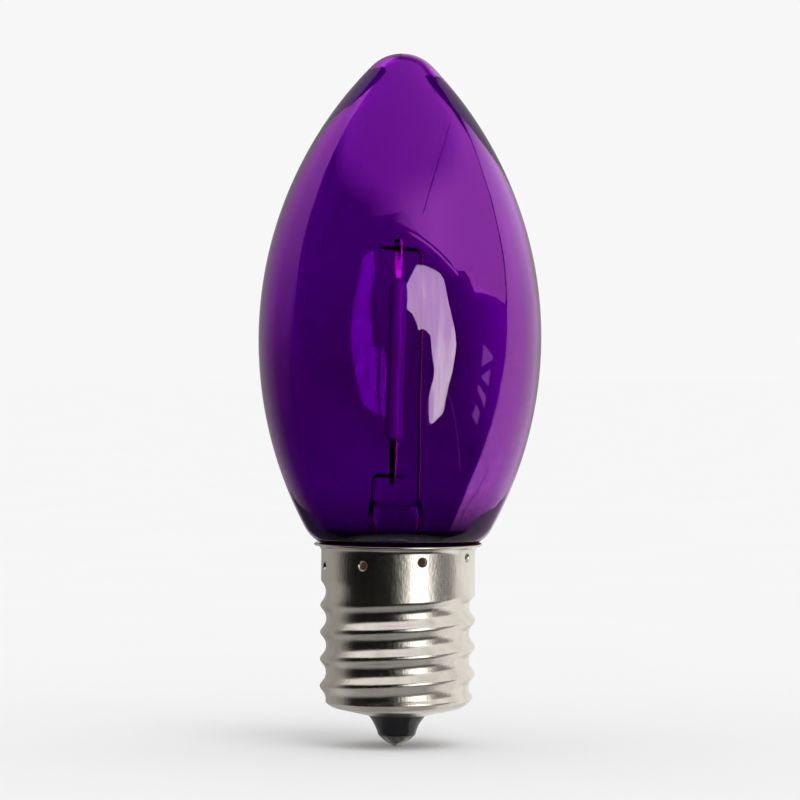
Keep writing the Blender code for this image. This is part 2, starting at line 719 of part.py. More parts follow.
def pinch_press(mesh):
    """Squeeze the top of the flare tube into the flat press."""
    half_width = (LONG_LEAD_FOOT + SHORT_LEAD_FOOT) / 2 + PRESS_EDGE
    press_bottom_z = press_top_z - PRESS_HEIGHT
    for vertex in mesh.vertices:
        x, y, z = vertex.co
        share = smooth_step((z - press_bottom_z + PRESS_TAPER) / PRESS_TAPER)
        radius = math.hypot(x, y)
        if not share or not radius:
            continue
        power = 1.0 + (PRESS_SQUARENESS - 1.0) * share
        wide = math.copysign(abs(x / radius) ** power, x)
        deep = math.copysign(abs(y / radius) ** power, y)
        scale_x = 1.0 + (half_width / STEM_TUBE_RADIUS - 1.0) * share
        scale_y = 1.0 + (PRESS_THICKNESS / 2 / STEM_TUBE_RADIUS - 1.0) * share
        vertex.co.x = wide * radius * scale_x + press_offset() * share
        vertex.co.y = deep * radius * scale_y


def stem_outline():
    """Press, tube and flare with a flat lip, then back up inside the flare to its roof."""
    bore_radius = STEM_TUBE_RADIUS - STEM_WALL
    land_radius = neck_radius - GLASS_WALL
    flare_z = flare_top_z + STEM_FLARE_HEIGHT
    outline = [(0.0, press_top_z), (STEM_TUBE_RADIUS / 2, press_top_z)]
    outline += arc((STEM_TUBE_RADIUS - PRESS_CORNER, press_top_z - PRESS_CORNER), PRESS_CORNER, 90.0, 0.0, 2)
    tube_top = outline[-1][1]
    tube_rings = 8
    for ring in range(1, tube_rings):
        outline.append((STEM_TUBE_RADIUS, tube_top + (flare_z - tube_top) * ring / tube_rings))
    outline += trumpet(STEM_TUBE_RADIUS, land_radius, flare_z, STEM_FLARE_HEIGHT)
    outline.append((neck_radius, flare_top_z))
    outline.append((neck_radius, flare_bottom_z))
    outline += reversed(trumpet(bore_radius, land_radius, flare_z, STEM_FLARE_HEIGHT + STEM_WALL))
    outline.append((bore_radius, stem_roof_z - STEM_WALL))
    outline.append((bore_radius * STEM_ROOF_FLAT_SHARE, stem_roof_z))
    outline.append((0.0, stem_roof_z))
    return outline


def trumpet(tube_radius, lip_radius, top_z, height):
    """Quarter ellipse that opens from a tube to a lip, down from a height."""
    points = []
    for step in range(6):
        angle = math.radians(90.0 * step / 5)
        radius = lip_radius - (lip_radius - tube_radius) * math.cos(angle)
        points.append((radius, top_z - height * math.sin(angle)))
    return points


def lead_route(side):
    """Centre line of a lead through the press: above its top, where it bends, and under the roof."""
    foot = LONG_LEAD_FOOT if side > 0 else -SHORT_LEAD_FOOT
    return [
        Vector((foot, 0.0, press_top_z + PRESS_BEAD_RADIUS + CUT_OVERRUN)),
        Vector((foot, 0.0, press_top_z - LEAD_EMBED)),
        Vector((side * OUTER_LEAD_SPREAD, 0.0, stem_roof_z - CUT_OVERRUN)),
    ]


def build_stem():
    """Flare with its pinched press, bored for the two leads, and the exhaust tube under the roof."""
    stem = turned("stem_glass", stem_outline(), CLEAR_GLASS, STEM_SEGMENTS)
    freeze(stem)
    pinch_press(stem.data)
    for side, name in ((1, "long"), (-1, "short")):
        route = lead_route(side)
        place = (route[0].x, 0.0, press_top_z)
        bead = as_cutter(ball(f"press_bead_{name}", PRESS_BEAD_RADIUS, place, CLEAR_GLASS, cutters))
        boolean(stem, bead, "UNION")
    for side, name in ((1, "long"), (-1, "short")):
        bore = wire_cutter(f"press_bore_{name}", lead_route(side), LEAD_RADIUS + FIT_GAP, CLEAR_GLASS)
        boolean(stem, bore)
    tip_z = flare_bottom_z - EXHAUST_STUB
    outline = arc((0.0, tip_z + EXHAUST_RADIUS), EXHAUST_RADIUS, 0.0, -90.0, 4)
    outline[-1] = (0.0, tip_z)
    outline.insert(0, (EXHAUST_RADIUS, stem_roof_z - FIT_GAP))
    thicken(turned("exhaust_tube", outline, CLEAR_GLASS, SMALL_SEGMENTS), EXHAUST_WALL)


def filament_point(distance):
    """Point on the filament's axis at a distance above its middle."""
    lean = math.radians(FILAMENT_LEAN)
    middle_z = press_top_z + FILAMENT_RISE + COAT_LENGTH / 2
    return Vector((-FILAMENT_OFFSET + distance * math.sin(lean), 0.0, middle_z + distance * math.cos(lean)))


def build_leads():
    """Inner leads, sealing wires in the press, and outer leads down to the board."""
    top_weld = filament_point(COAT_LENGTH / 2 + TOP_TAB_LENGTH - TOP_WELD_INSET)
    bottom_weld = filament_point(-COAT_LENGTH / 2 - BOTTOM_TAB_LENGTH + BOTTOM_WELD_INSET)
    sag = Vector((0.0, 0.0, LEAD_SAG))
    routes = {
        "long": (
            1,
            [
                Vector((-LONG_LEAD_TIP, 0.0, top_weld.z)) + sag,
                Vector((LONG_LEAD_REACH, 0.0, top_weld.z)) - sag,
            ],
            LONG_LEAD_BEND,
        ),
        "short": (
            -1,
            [
                Vector((SHORT_LEAD_TIP, 0.0, bottom_weld.z)) - sag,
                Vector((-SHORT_LEAD_REACH, 0.0, bottom_weld.z)) + sag,
            ],
            SHORT_LEAD_BEND,
        ),
    }
    for name, (side, corners, bend) in routes.items():
        press = lead_route(side)
        down = (press[2] - press[1]).normalized()
        inner = rounded_route([*corners, press[1]], bend)
        wire(f"lead_wire_{name}", inner, LEAD_RADIUS, LEAD_METAL)
        seal_top = press[1] + down * (SEAL_WIRE_RADIUS + SEAM_GAP)
        seal_end = press[2]
        wire(f"seal_wire_{name}", [seal_top, seal_end], SEAL_WIRE_RADIUS, SEAL_METAL)
        outer_top = seal_end + down * SEAM_GAP - Vector((0.0, 0.0, SEAM_GAP))
        outer_end = Vector((outer_top.x, 0.0, board_bottom_z - LEAD_STUB))
        wire(f"outer_lead_{name}", [outer_top, outer_end], OUTER_LEAD_RADIUS, COPPER)


def tab_outline(name, widths, lengths, material):
    """A flat metal tab that runs up from its foot, with a width for each length."""
    curve = bpy.data.curves.new(name, "CURVE")
    curve.dimensions = "2D"
    curve.fill_mode = "BOTH"
    curve.extrude = TAB_THICKNESS / 2
    right = []
    height = 0.0
    for width, length in zip(widths, lengths):
        right.append((width / 2, height))
        height += length
        right.append((width / 2, height))
    corners = right + [(-x, y) for x, y in reversed(right)]
    spline = curve.splines.new("POLY")
    spline.points.add(len(corners) - 1)
    for spot, (x, y) in zip(spline.points, corners):
        spot.co = (x, y, 0.0, 1.0)
    spline.use_cyclic_u = True
    return add_object(name, curve, material)


def build_filament():
    """Ceramic strip with its chips, the coat round it, and a tab at each end."""
    axis = bpy.data.objects.new("filament_axis", None)
    parts.objects.link(axis)
    stand_off = LEAD_RADIUS + SEAM_GAP + TAB_THICKNESS / 2
    axis.location = filament_point(0.0) - Vector((0.0, stand_off, 0.0))
    axis.rotation_euler = (0.0, math.radians(FILAMENT_LEAN), 0.0)

    strip_half = COAT_LENGTH / 2 - SUBSTRATE_INSET
    strip = box(
        "filament_substrate",
        (SUBSTRATE_WIDTH, SUBSTRATE_THICKNESS, 2 * strip_half),
        (0.0, 0.0, 0.0),
        CERAMIC,
    )
    strip.parent = axis
    chip_y = -(SUBSTRATE_THICKNESS / 2 + SEAM_GAP + CHIP_SIZE[1] / 2)
    pitch = 2 * strip_half / CHIP_COUNT
    for index in range(CHIP_COUNT):
        height = -strip_half + pitch * (index + 0.5)
        chip = box(f"led_chip_{index + 1:02d}", CHIP_SIZE, (0.0, chip_y, height), CHIP)
        chip.parent = axis

    half = COAT_LENGTH / 2
    steps = 4
    upper_end = []
    for step in range(steps + 1):
        angle = math.radians(90.0 * step / steps)
        radius = COAT_RADIUS * math.sin(angle)
        upper_end.append((radius, half - COAT_END_LENGTH * (1.0 - math.cos(angle))))
    outline = upper_end + [(radius, -height) for radius, height in reversed(upper_end)]
    coat = turned("filament_coat", outline, COATING, SMALL_SEGMENTS)
    coat.parent = axis
    slot_width = max(TOP_TAB_WIDTH, BOTTOM_TAB_WIDTH) + 2 * SEAM_GAP
    slot_size = (slot_width, TAB_THICKNESS + 2 * SEAM_GAP, COAT_LENGTH + 2 * CUT_OVERRUN)
    slot = box("coat_slot", slot_size, (0.0, 0.0, 0.0), COATING, collection=cutters)
    front = -chip_y + CHIP_SIZE[1] / 2 + SEAM_GAP
    back = SUBSTRATE_THICKNESS / 2 + SEAM_GAP
    core_size = (SUBSTRATE_WIDTH + 2 * SEAM_GAP, front + back, 2 * (strip_half + SEAM_GAP))
    core = box("coat_core", core_size, (0.0, (back - front) / 2, 0.0), COATING, collection=cutters)
    for cutter in (slot, core):
        cutter.parent = axis
        boolean(coat, as_cutter(cutter))

    tab_foot = strip_half + SEAM_GAP
    hidden = half - tab_foot
    top = tab_outline("filament_tab_top", [TOP_TAB_WIDTH], [hidden + TOP_TAB_LENGTH], LEAD_METAL)
    root_length = hidden + BOTTOM_TAB_LENGTH - BOTTOM_TAB_TIP_LENGTH
    bottom = tab_outline(
        "filament_tab_bottom",
        [BOTTOM_TAB_WIDTH, BOTTOM_TAB_TIP_WIDTH],
        [root_length, BOTTOM_TAB_TIP_LENGTH],
        LEAD_METAL,
    )
    for tab, turn, foot in ((top, 90.0, tab_foot), (bottom, -90.0, -tab_foot)):
        tab.rotation_euler = (math.radians(turn), 0.0, 0.0)
        tab.location = (0.0, 0.0, foot)
        tab.parent = axis


build_contact()
build_insulator()
build_screw_shell()
build_cement()
build_board()
build_driver()
build_shell_lead()
build_stem()
build_leads()
build_filament()
build_envelope()
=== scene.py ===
"""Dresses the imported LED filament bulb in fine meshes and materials, and sets it in a plain pale studio.

Lengths are in metres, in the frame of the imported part: the bulb's axis is +Z, the tip of the centre contact
is the origin and the front faces -Y. Directions round the bulb are (azimuth, elevation) pairs in degrees,
with azimuth 0 at the front and 90 at +X. Outlines are lists of (radius, height) pairs.
"""

import math

import bmesh
import bpy
import numpy as np
from mathutils import Matrix, Vector


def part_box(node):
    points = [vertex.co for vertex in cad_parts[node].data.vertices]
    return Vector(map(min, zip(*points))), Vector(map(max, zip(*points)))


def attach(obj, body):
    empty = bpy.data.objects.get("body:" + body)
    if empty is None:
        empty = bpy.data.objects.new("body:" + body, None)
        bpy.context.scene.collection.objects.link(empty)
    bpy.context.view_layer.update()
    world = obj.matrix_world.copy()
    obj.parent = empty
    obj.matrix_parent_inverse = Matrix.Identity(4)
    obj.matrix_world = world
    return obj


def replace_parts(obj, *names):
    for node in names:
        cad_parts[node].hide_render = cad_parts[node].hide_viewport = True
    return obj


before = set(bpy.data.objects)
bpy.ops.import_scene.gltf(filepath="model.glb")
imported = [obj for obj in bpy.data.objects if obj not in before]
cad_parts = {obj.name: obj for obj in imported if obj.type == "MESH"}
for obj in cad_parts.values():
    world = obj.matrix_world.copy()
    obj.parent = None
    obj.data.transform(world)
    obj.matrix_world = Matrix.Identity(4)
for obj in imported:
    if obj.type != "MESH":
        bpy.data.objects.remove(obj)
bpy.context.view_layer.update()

# Sizes of the part
SEAM_GAP = 0.00005
FIT_GAP = 0.0001
SOLDER_RADIUS = 0.00192
SOLDER_HEIGHT = 0.0011
SOLDER_FULLNESS = 0.56
EYELET_FLANGE_RADIUS = 0.0014
EYELET_TUBE_RADIUS = 0.00075
EYELET_WALL = 0.00015
INSULATOR_DROP = 0.00205
INSULATOR_TIP_RADIUS = 0.00198
INSULATOR_WAIST = 0.00012
SHELL_WALL = 0.00025
THREAD_RADIUS = 0.00813
THREAD_DEPTH = 0.00064
THREAD_PITCH = 0.002822
THREAD_CREST_SHARPNESS = 0.35
THREAD_RUNOUT = 0.0007
THREAD_RUNOUT_RISE = 0.00094
THREAD_CREST_RISE = 0.00727
COLLAR_STEP = 0.00007
COLLAR_HEIGHT = 0.00455
RIM_FLARE = 0.00063
SHELL_OPENING_RADIUS = 0.00305
SHELL_CORNER_RADIUS = 0.0022
SHELL_CORNER_RISE = 0.0029
DIMPLE_COUNT = 8
DIMPLE_FIRST_ANGLE = 18.0
DIMPLE_TILT = 3.9
DIMPLE_DROP = 0.0018
DIMPLE_RADIUS = 0.00047
DIMPLE_HOLE_RADIUS = 0.00022
DIMPLE_DEPTH = 0.00045
CEMENT_RECESS = 0.0004
CEMENT_FOOT = 0.0004
STEM_WALL = 0.0006
STEM_TUBE_RADIUS = 0.003
STEM_HEIGHT = 0.0129
STEM_FLARE_HEIGHT = 0.004
STEM_ROOF_DEPTH = 0.0051
PRESS_HEIGHT = 0.0038
PRESS_TAPER = 0.0032
PRESS_THICKNESS = 0.0021
PRESS_EDGE = 0.00055
PRESS_CORNER = 0.0005
PRESS_SQUARENESS = 0.62
PRESS_BEAD_RADIUS = 0.00048
LEAD_RADIUS = 0.0002
LEAD_EMBED = 0.0012
LONG_LEAD_FOOT = 0.0021
LONG_LEAD_REACH = 0.0023
LONG_LEAD_TIP = 0.0021
LONG_LEAD_BEND = 0.0009
SHORT_LEAD_FOOT = 0.00275
SHORT_LEAD_REACH = 0.00262
SHORT_LEAD_TIP = 0.00065
SHORT_LEAD_BEND = 0.0005
LEAD_SAG = 0.0001
FILAMENT_RISE = 0.0066
FILAMENT_OFFSET = 0.0004
FILAMENT_LEAN = 1.1
COAT_RADIUS = 0.00095
COAT_LENGTH = 0.0169
COAT_END_LENGTH = 0.0007
SUBSTRATE_INSET = 0.0009
TAB_THICKNESS = 0.00015
TOP_TAB_WIDTH = 0.0009
TOP_TAB_LENGTH = 0.0042
TOP_WELD_INSET = 0.00105
BOTTOM_TAB_WIDTH = 0.0008
BOTTOM_TAB_TIP_WIDTH = 0.00064
BOTTOM_TAB_LENGTH = 0.0045
BOTTOM_TAB_TIP_LENGTH = 0.0025
BOTTOM_WELD_INSET = 0.00085
GLASS_WALL = 0.0007
BELLY_RADIUS = 0.0148
TOP_HEIGHT = 0.02983
TIP_RADIUS = 0.00445
SHOULDER_OVERHANG = 0.00111
SHOULDER_RISE = 0.00163
SHOULDER_ANGLE = 28.4
SHOULDER_ARC_RADIUS = 0.004
NECK_CLEARANCE = 0.0006
NECK_FILLET = 0.0012

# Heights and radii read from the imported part
insulator_bottom_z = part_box("base_insulator")[0].z
insulator_top_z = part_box("base_insulator")[1].z
shell_bottom_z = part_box("screw_shell")[0].z
rim_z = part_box("screw_shell")[1].z
flare_bottom_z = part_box("stem_glass")[0].z
neck_end_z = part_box("glass_envelope")[0].z
flare_top_z = flare_bottom_z + STEM_WALL
press_top_z = flare_top_z + STEM_HEIGHT
stem_roof_z = press_top_z - STEM_ROOF_DEPTH
thread_top_z = rim_z - COLLAR_HEIGHT
runout_top_z = thread_top_z + THREAD_RUNOUT_RISE
thread_crest_z = shell_bottom_z + THREAD_CREST_RISE
collar_radius = THREAD_RADIUS - COLLAR_STEP
rim_radius = collar_radius + RIM_FLARE
shell_bore_radius = THREAD_RADIUS - THREAD_DEPTH - SHELL_WALL
neck_radius = shell_bore_radius - NECK_CLEARANCE
rim_flare_z = rim_z - SHELL_WALL - RIM_FLARE
press_middle = (LONG_LEAD_FOOT - SHORT_LEAD_FOOT) / 2

# Mesh density
GLASS_COLUMNS = 160
SOLID_COLUMNS = 96
CEMENT_COLUMNS = 192
STEM_COLUMNS = 80
WIRE_SIDES = 16
COAT_SIDES = 48
BEND_STEPS = 12

# Camera and studio
CAMERA_DISTANCE = 0.4
CAMERA_HEIGHT = 0.041
CAMERA_AIM = (0.00006, 0.0, 0.03623)
CAMERA_ROLL = 0.45
CAMERA_LENS = 171.9
CAMERA_SENSOR = 36.0
CAMERA_NEAR = 0.01
CAMERA_FAR = 20.0
STUDIO_CENTRE = Vector((0.0, 0.0, 0.04))
FLOOR_RADIUS = 6.0
PALE = (0.93, 0.93, 0.935)
ROOM_LIGHT = 0.85

AXIS_X = (1.0, 0.0, 0.0)
AXIS_Y = (0.0, 1.0, 0.0)
AXIS_Z = (0.0, 0.0, 1.0)
LEFT = (-1.0, 0.0, 0.0)
FRONT = (0.0, -1.0, 0.0)
DOWN = (0.0, 0.0, -1.0)


# Nodes of materials

def add_node(tree, kind, inputs=None, operation=None):
    """A shader node with its inputs set, or linked where the value is another node's output."""
    node = tree.nodes.new("ShaderNode" + kind)
    if operation:
        node.operation = operation
    for socket, value in (inputs or {}).items():
        if isinstance(value, bpy.types.NodeSocket):
            tree.links.new(value, node.inputs[socket])
        else:
            node.inputs[socket].default_value = value
    return node


def math_node(tree, operation, *values):
    """The result of an operation on values."""
    return add_node(tree, "Math", dict(enumerate(values)), operation).outputs["Value"]


def map_range(tree, value, start, end, low=0.0, high=1.0):
    """A value carried over from one range to another."""
    ranges = {"From Min": start, "From Max": end, "To Min": low, "To Max": high}
    return add_node(tree, "MapRange", {"Value": value, **ranges})


def coordinates(tree, stretch=(1.0, 1.0, 1.0)):
    """The part's own coordinates, stretched along its axes."""
    place = add_node(tree, "TexCoord").outputs["Object"]
    return add_node(tree, "Mapping", {"Vector": place, "Scale": stretch}).outputs["Vector"]


def noise(tree, vector, scale, detail=3.0, roughness=0.5):
    """The level of a noise texture."""
    inputs = {"Vector": vector, "Scale": scale, "Detail": detail, "Roughness": roughness}
    return add_node(tree, "TexNoise", inputs).outputs["Fac"]


NOISE_LOW = 0.3
NOISE_HIGH = 0.7


def spread(tree, level, low, high):
    """The middle of a noise spread over a range."""
    return map_range(tree, level, NOISE_LOW, NOISE_HIGH, low, high).outputs["Result"]


def ramp(tree, value, stops):
    """The colour of a ramp with (position, colour) stops."""
    node = add_node(tree, "ValToRGB", {"Fac": value})
    elements = node.color_ramp.elements
    while len(elements) < len(stops):
        elements.new(1.0)
    for element, (position, colour) in zip(elements, stops):
        element.position = position
        element.color = (*colour, 1.0)
    return node.outputs["Color"]


def along_line(tree, direction, start, end):
    """How far a point lies along a direction, from 0 at the start to 1 at the end."""
    place = add_node(tree, "TexCoord").outputs["Object"]
    reach = add_node(tree, "VectorMath", {0: place, 1: direction}, "DOT_PRODUCT").outputs["Value"]
    return map_range(tree, reach, start, end).outputs["Result"]


def show_mix(tree, share, first, second, output="Material Output"):
    """Show a mix of two shaders."""
    mix = add_node(tree, "MixShader", {"Fac": share, 1: first, 2: second})
    tree.links.new(mix.outputs["Shader"], tree.nodes[output].inputs["Surface"])


# Materials

METAL = {"Metallic": 1.0}

# Finish of each slot: shades and the scale of their noise, range of roughness, height of the grain in metres,
# scale of the grain and its stretch along the bulb, and the shader's plain values. The purple glass is tinted
# by height instead of by shades, and that tint holds painted shade and light.
FINISHES = {
    "purple_glass": (None, 0, (0, 0.012), 6e-7, 420, 0.35, {"Transmission Weight": 1.0, "IOR": 1.5}),
    "clear_glass": (
        [(0.93, 0.95, 0.94), (0.97, 0.98, 0.98)], 300, (0, 0.02), 2e-6, 900, 1,
        {"Transmission Weight": 1.0, "IOR": 1.52},
    ),
    "black_glass": (
        [(0.003, 0.0035, 0.005), (0.009, 0.01, 0.013)], 500, (0.06, 0.16), 1.2e-5, 1300, 1, {"IOR": 1.55},
    ),
    "nickel_plate": (
        [(0.62, 0.585, 0.52), (0.72, 0.685, 0.615), (0.76, 0.73, 0.66)],
        420, (0.17, 0.27), 2.2e-5, 4400, 0.5, METAL,
    ),
    "lead_metal": ([(0.12, 0.105, 0.065), (0.16, 0.14, 0.09)], 1500, (0.1, 0.16), 2e-7, 5000, 0.25, METAL),
    "seal_metal": ([(0.55, 0.17, 0.1), (0.75, 0.27, 0.17)], 2200, (0.3, 0.5), 4e-6, 9000, 1, METAL),
    "copper": ([(0.62, 0.3, 0.19), (0.82, 0.45, 0.3)], 1800, (0.25, 0.45), 4e-6, 9000, 1, METAL),
    "solder_tin": ([(0.16, 0.16, 0.13), (0.42, 0.41, 0.36)], 1600, (0.16, 0.38), 2.5e-5, 2300, 1, METAL),
    "eyelet_brass": ([(0.6, 0.44, 0.2), (0.78, 0.62, 0.32)], 1500, (0.25, 0.45), 5e-6, 6000, 1, METAL),
    "basing_cement": (
        [(0.02, 0.008, 0.006), (0.06, 0.02, 0.014), (0.16, 0.036, 0.028)],
        2600, (0.6, 0.95), 4e-5, 5200, 1, {},
    ),
    "phosphor_coat": ([(0.8, 0.77, 0.7), (0.88, 0.86, 0.8)], 900, (0.22, 0.4), 1.2e-5, 2600, 0.4, {}),
    "substrate_ceramic": ([(0.8, 0.8, 0.77), (0.9, 0.9, 0.87)], 2500, (0.35, 0.55), 4e-6, 9000, 1, {}),
    "led_chip": ([(0.1, 0.26, 0.45), (0.2, 0.42, 0.66)], 3500, (0.12, 0.28), 2e-6, 12000, 1, {}),
    "board_laminate": ([(0.66, 0.68, 0.58), (0.78, 0.79, 0.7)], 1800, (0.4, 0.6), 1.2e-5, 4200, 1, {}),
    "package_moulding": ([(0.02, 0.02, 0.022), (0.045, 0.045, 0.048)], 2200, (0.45, 0.65), 1e-5, 7500, 1, {}),
    "resistor_coat": ([(0.18, 0.33, 0.45), (0.3, 0.47, 0.6)], 1500, (0.4, 0.6), 1e-5, 5000, 1, {}),
}
FLOOR_FINISH = (
    [(0.895, 0.895, 0.9), (0.905, 0.905, 0.91)], 30, (0.7, 0.85), 1e-5, 900, 1, {"Specular IOR Level": 0.0},
)
GRAIN_DETAIL = 4.0
GRAIN_ROUGHNESS = 0.6


def surface(name, shades, scale, roughness, relief, grain_scale, stretch, plain):
    """A Principled material whose colour, roughness and relief vary with noise."""
    material = bpy.data.materials.new(name)
    material.use_nodes = True
    tree = material.node_tree
    shader = tree.nodes["Principled BSDF"]
    vector = coordinates(tree, (1.0, 1.0, stretch))
    if shades:
        step = (NOISE_HIGH - NOISE_LOW) / (len(shades) - 1)
        stops = [(NOISE_LOW + step * i, shade) for i, shade in enumerate(shades)]
        tree.links.new(ramp(tree, noise(tree, vector, scale), stops), shader.inputs["Base Color"])
    grain = noise(tree, vector, grain_scale, GRAIN_DETAIL, GRAIN_ROUGHNESS)
    tree.links.new(spread(tree, grain, *roughness), shader.inputs["Roughness"])
    bump = add_node(tree, "Bump", {"Height": grain, "Distance": relief, "Strength": 1.0})
    tree.links.new(bump.outputs["Normal"], shader.inputs["Normal"])
    for socket, value in plain.items():
        shader.inputs[socket].default_value = value
    return material


# Purple of the glass by height: its darkening towards the neck and its lighter top are painted shade and
# light
GLASS_TINTS_AND_SHADE = [
    (0.0, (0.07, 0.004, 0.1)), (0.02, (0.09, 0.004, 0.145)), (0.05, (0.152, 0.004, 0.24)),
    (0.12, (0.22, 0.005, 0.35)), (0.37, (0.212, 0.006, 0.315)), (0.6, (0.255, 0.007, 0.4)),
    (1.0, (0.27, 0.006, 0.44)),
]
TINT_BOTTOM_RISE = 0.001
TINT_TOP_RISE = 0.05
TINT_WAVER = 0.05
TINT_WAVER_SCALE = 90.0
BODY_TINT = (0.3, 0.05, 0.6, 1.0)
BODY_DENSITY = 200.0


def tint_and_shade_glass(material):
    """Colour glass purple by height, with painted shade that darkens it towards the neck and painted light
    towards the tip, and a small unevenness; and let its body take up light too.
    """
    tree = material.node_tree
    height = along_line(tree, AXIS_Z, rim_z + TINT_BOTTOM_RISE, rim_z + TINT_TOP_RISE)
    waver = noise(tree, coordinates(tree), TINT_WAVER_SCALE)
    tint = ramp(tree, math_node(tree, "MULTIPLY_ADD", waver, TINT_WAVER, height), GLASS_TINTS_AND_SHADE)
    tree.links.new(tint, tree.nodes["Principled BSDF"].inputs["Base Color"])
    body = add_node(tree, "VolumeAbsorption", {"Color": BODY_TINT, "Density": BODY_DENSITY})
    tree.links.new(body.outputs["Volume"], tree.nodes["Material Output"].inputs["Volume"])


materials = {slot: surface(slot, *finish) for slot, finish in FINISHES.items()}
tint_and_shade_glass(materials["purple_glass"])


# Meshes

def add_piece(name, node, slot, vertices, faces, matrix=None):
    """A smooth mesh that rides on the part in place of a node, with the finish of a slot of the record."""
    mesh = bpy.data.meshes.new(name)
    mesh.from_pydata([tuple(vertex) for vertex in vertices], [], faces)
    mesh.polygons.foreach_set("use_smooth", [True] * len(mesh.polygons))
    mesh.materials.append(materials[slot])
    if matrix:
        mesh.transform(matrix)
    mesh.update()
    item = bpy.data.objects.new(name, mesh)
    bpy.context.scene.collection.objects.link(item)
    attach(item, "root")
    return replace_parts(item, node)


def rings_piece(name, node, slot, rings, poles=None, matrix=None):
    """A piece of closed rings of points, closed by a pole at each end, or else joined into a loop."""
    count, columns = rings.shape[:2]
    vertices = rings.reshape(-1, 3).tolist()
    index = np.arange(count * columns).reshape(count, columns)
    after = np.roll(index, -1, axis=1)
    faces = []
    for i in range(count - 1 if poles else count):
        k = (i + 1) % count
        faces += np.stack([index[i], index[k], after[k], after[i]], axis=1).tolist()
    if poles:
        top = len(vertices)
        vertices += poles
        faces += [[top, a, b] for a, b in zip(index[0].tolist(), after[0].tolist())]
        faces += [[a, top + 1, b] for a, b in zip(index[-1].tolist(), after[-1].tolist())]
    return add_piece(name, node, slot, vertices, faces, matrix)


def columns_round(count):
    """Evenly spaced angles round the axis, from +X."""
    return np.arange(count) * math.tau / count


def lathe(outline, angles, swell=0.0):
    """Rings of points for an outline turned about the axis, with a swell added to their radius."""
    radius, height = np.hsplit(np.array(outline), 2)
    radius = radius + swell + 0.0 * angles
    return np.stack([radius * np.cos(angles), radius * np.sin(angles), height + 0.0 * angles], axis=2)


def arc(centre, radius, start, end, steps):
    """Points of an arc from the start angle to the end angle."""
    turn = np.radians(np.linspace(start, end, steps + 1))
    return [(centre[0] + radius * math.cos(a), centre[1] + radius * math.sin(a)) for a in turn]


def straight(start, end, steps):
    """Points after the start of a straight run."""
    start = np.array(start)
    end = np.array(end)
    return [tuple(start + (end - start) * step / steps) for step in range(1, steps + 1)]


def offset_outline(outline, distance):
    """An outline moved by a distance to its left, which is inwards where it runs down the outer side."""
    along = np.gradient(outline, axis=0)
    along /= np.linalg.norm(along, axis=1)[:, None]
    return outline + np.stack([along[:, 1], -along[:, 0]], axis=1) * distance


def smooth_step(value):
    """Ease from 0 to 1 as the value goes from 0 to 1."""
    value = np.clip(value, 0.0, 1.0)
    return value * value * (3.0 - 2.0 * value)


def ripple(angles, height, waves):
    """A smooth uneven field round the axis. Each wave is (turns, height of a wave, phase, share)."""
    return sum(
        share * np.sin(turns * angles + math.tau * height / length + phase)
        for turns, length, phase, share in waves
    )


# Glass envelope

def neck_fillet():
    """Centres of the shoulder arc and the neck's fillet, and the angle at which they meet."""
    slope = math.radians(SHOULDER_ANGLE)
    shoulder = (
        rim_radius + SHOULDER_OVERHANG - SHOULDER_ARC_RADIUS * math.cos(slope),
        rim_z + SHOULDER_RISE + SHOULDER_ARC_RADIUS * math.sin(slope),
    )
    across = neck_radius + NECK_FILLET - shoulder[0]
    down = math.sqrt((SHOULDER_ARC_RADIUS + NECK_FILLET) ** 2 - across**2)
    fillet = (neck_radius + NECK_FILLET, shoulder[1] - down)
    return shoulder, fillet, -math.degrees(math.atan2(down, across))


def glass_outline():
    """Outer side of the envelope, from its tip to the end of its neck."""
    slope = math.radians(SHOULDER_ANGLE)
    lower_radius = (BELLY_RADIUS - rim_radius - SHOULDER_OVERHANG) / (1.0 - math.cos(slope))
    belly_z = rim_z + SHOULDER_RISE + lower_radius * math.sin(slope)
    square = BELLY_RADIUS**2 + TOP_HEIGHT**2 - 2 * TOP_HEIGHT * TIP_RADIUS
    upper_radius = square / (2 * (BELLY_RADIUS - TIP_RADIUS))
    rise = TOP_HEIGHT - TIP_RADIUS
    join = math.degrees(math.atan2(rise, upper_radius - BELLY_RADIUS))
    shoulder, fillet, meet = neck_fillet()
    outline = arc((0.0, belly_z + rise), TIP_RADIUS, 90.0, join, 12)
    outline += arc((BELLY_RADIUS - upper_radius, belly_z), upper_radius, join, 0.0, 46)[1:]
    outline += arc((BELLY_RADIUS - lower_radius, belly_z), lower_radius, 0.0, -SHOULDER_ANGLE, 26)[1:]
    outline += arc(shoulder, SHOULDER_ARC_RADIUS, -SHOULDER_ANGLE, meet, 14)[1:]
    outline += arc(fillet, NECK_FILLET, meet + 180.0, 180.0, 10)[1:]
    return outline + straight(outline[-1], (neck_radius, neck_end_z), 8)


INNER_WAVES = [(2, 0.031, 0.4, 0.5), (3, 0.019, 2.1, 0.3), (5, 0.013, 4.4, 0.2), (7, 0.009, 1.3, 0.12)]
OUTER_WAVES = [(3, 0.024, 1.1, 0.5), (4, 0.015, 3.6, 0.3), (9, 0.011, 0.2, 0.2)]
INNER_RIPPLE = 0.00004
OUTER_RIPPLE = 0.000006


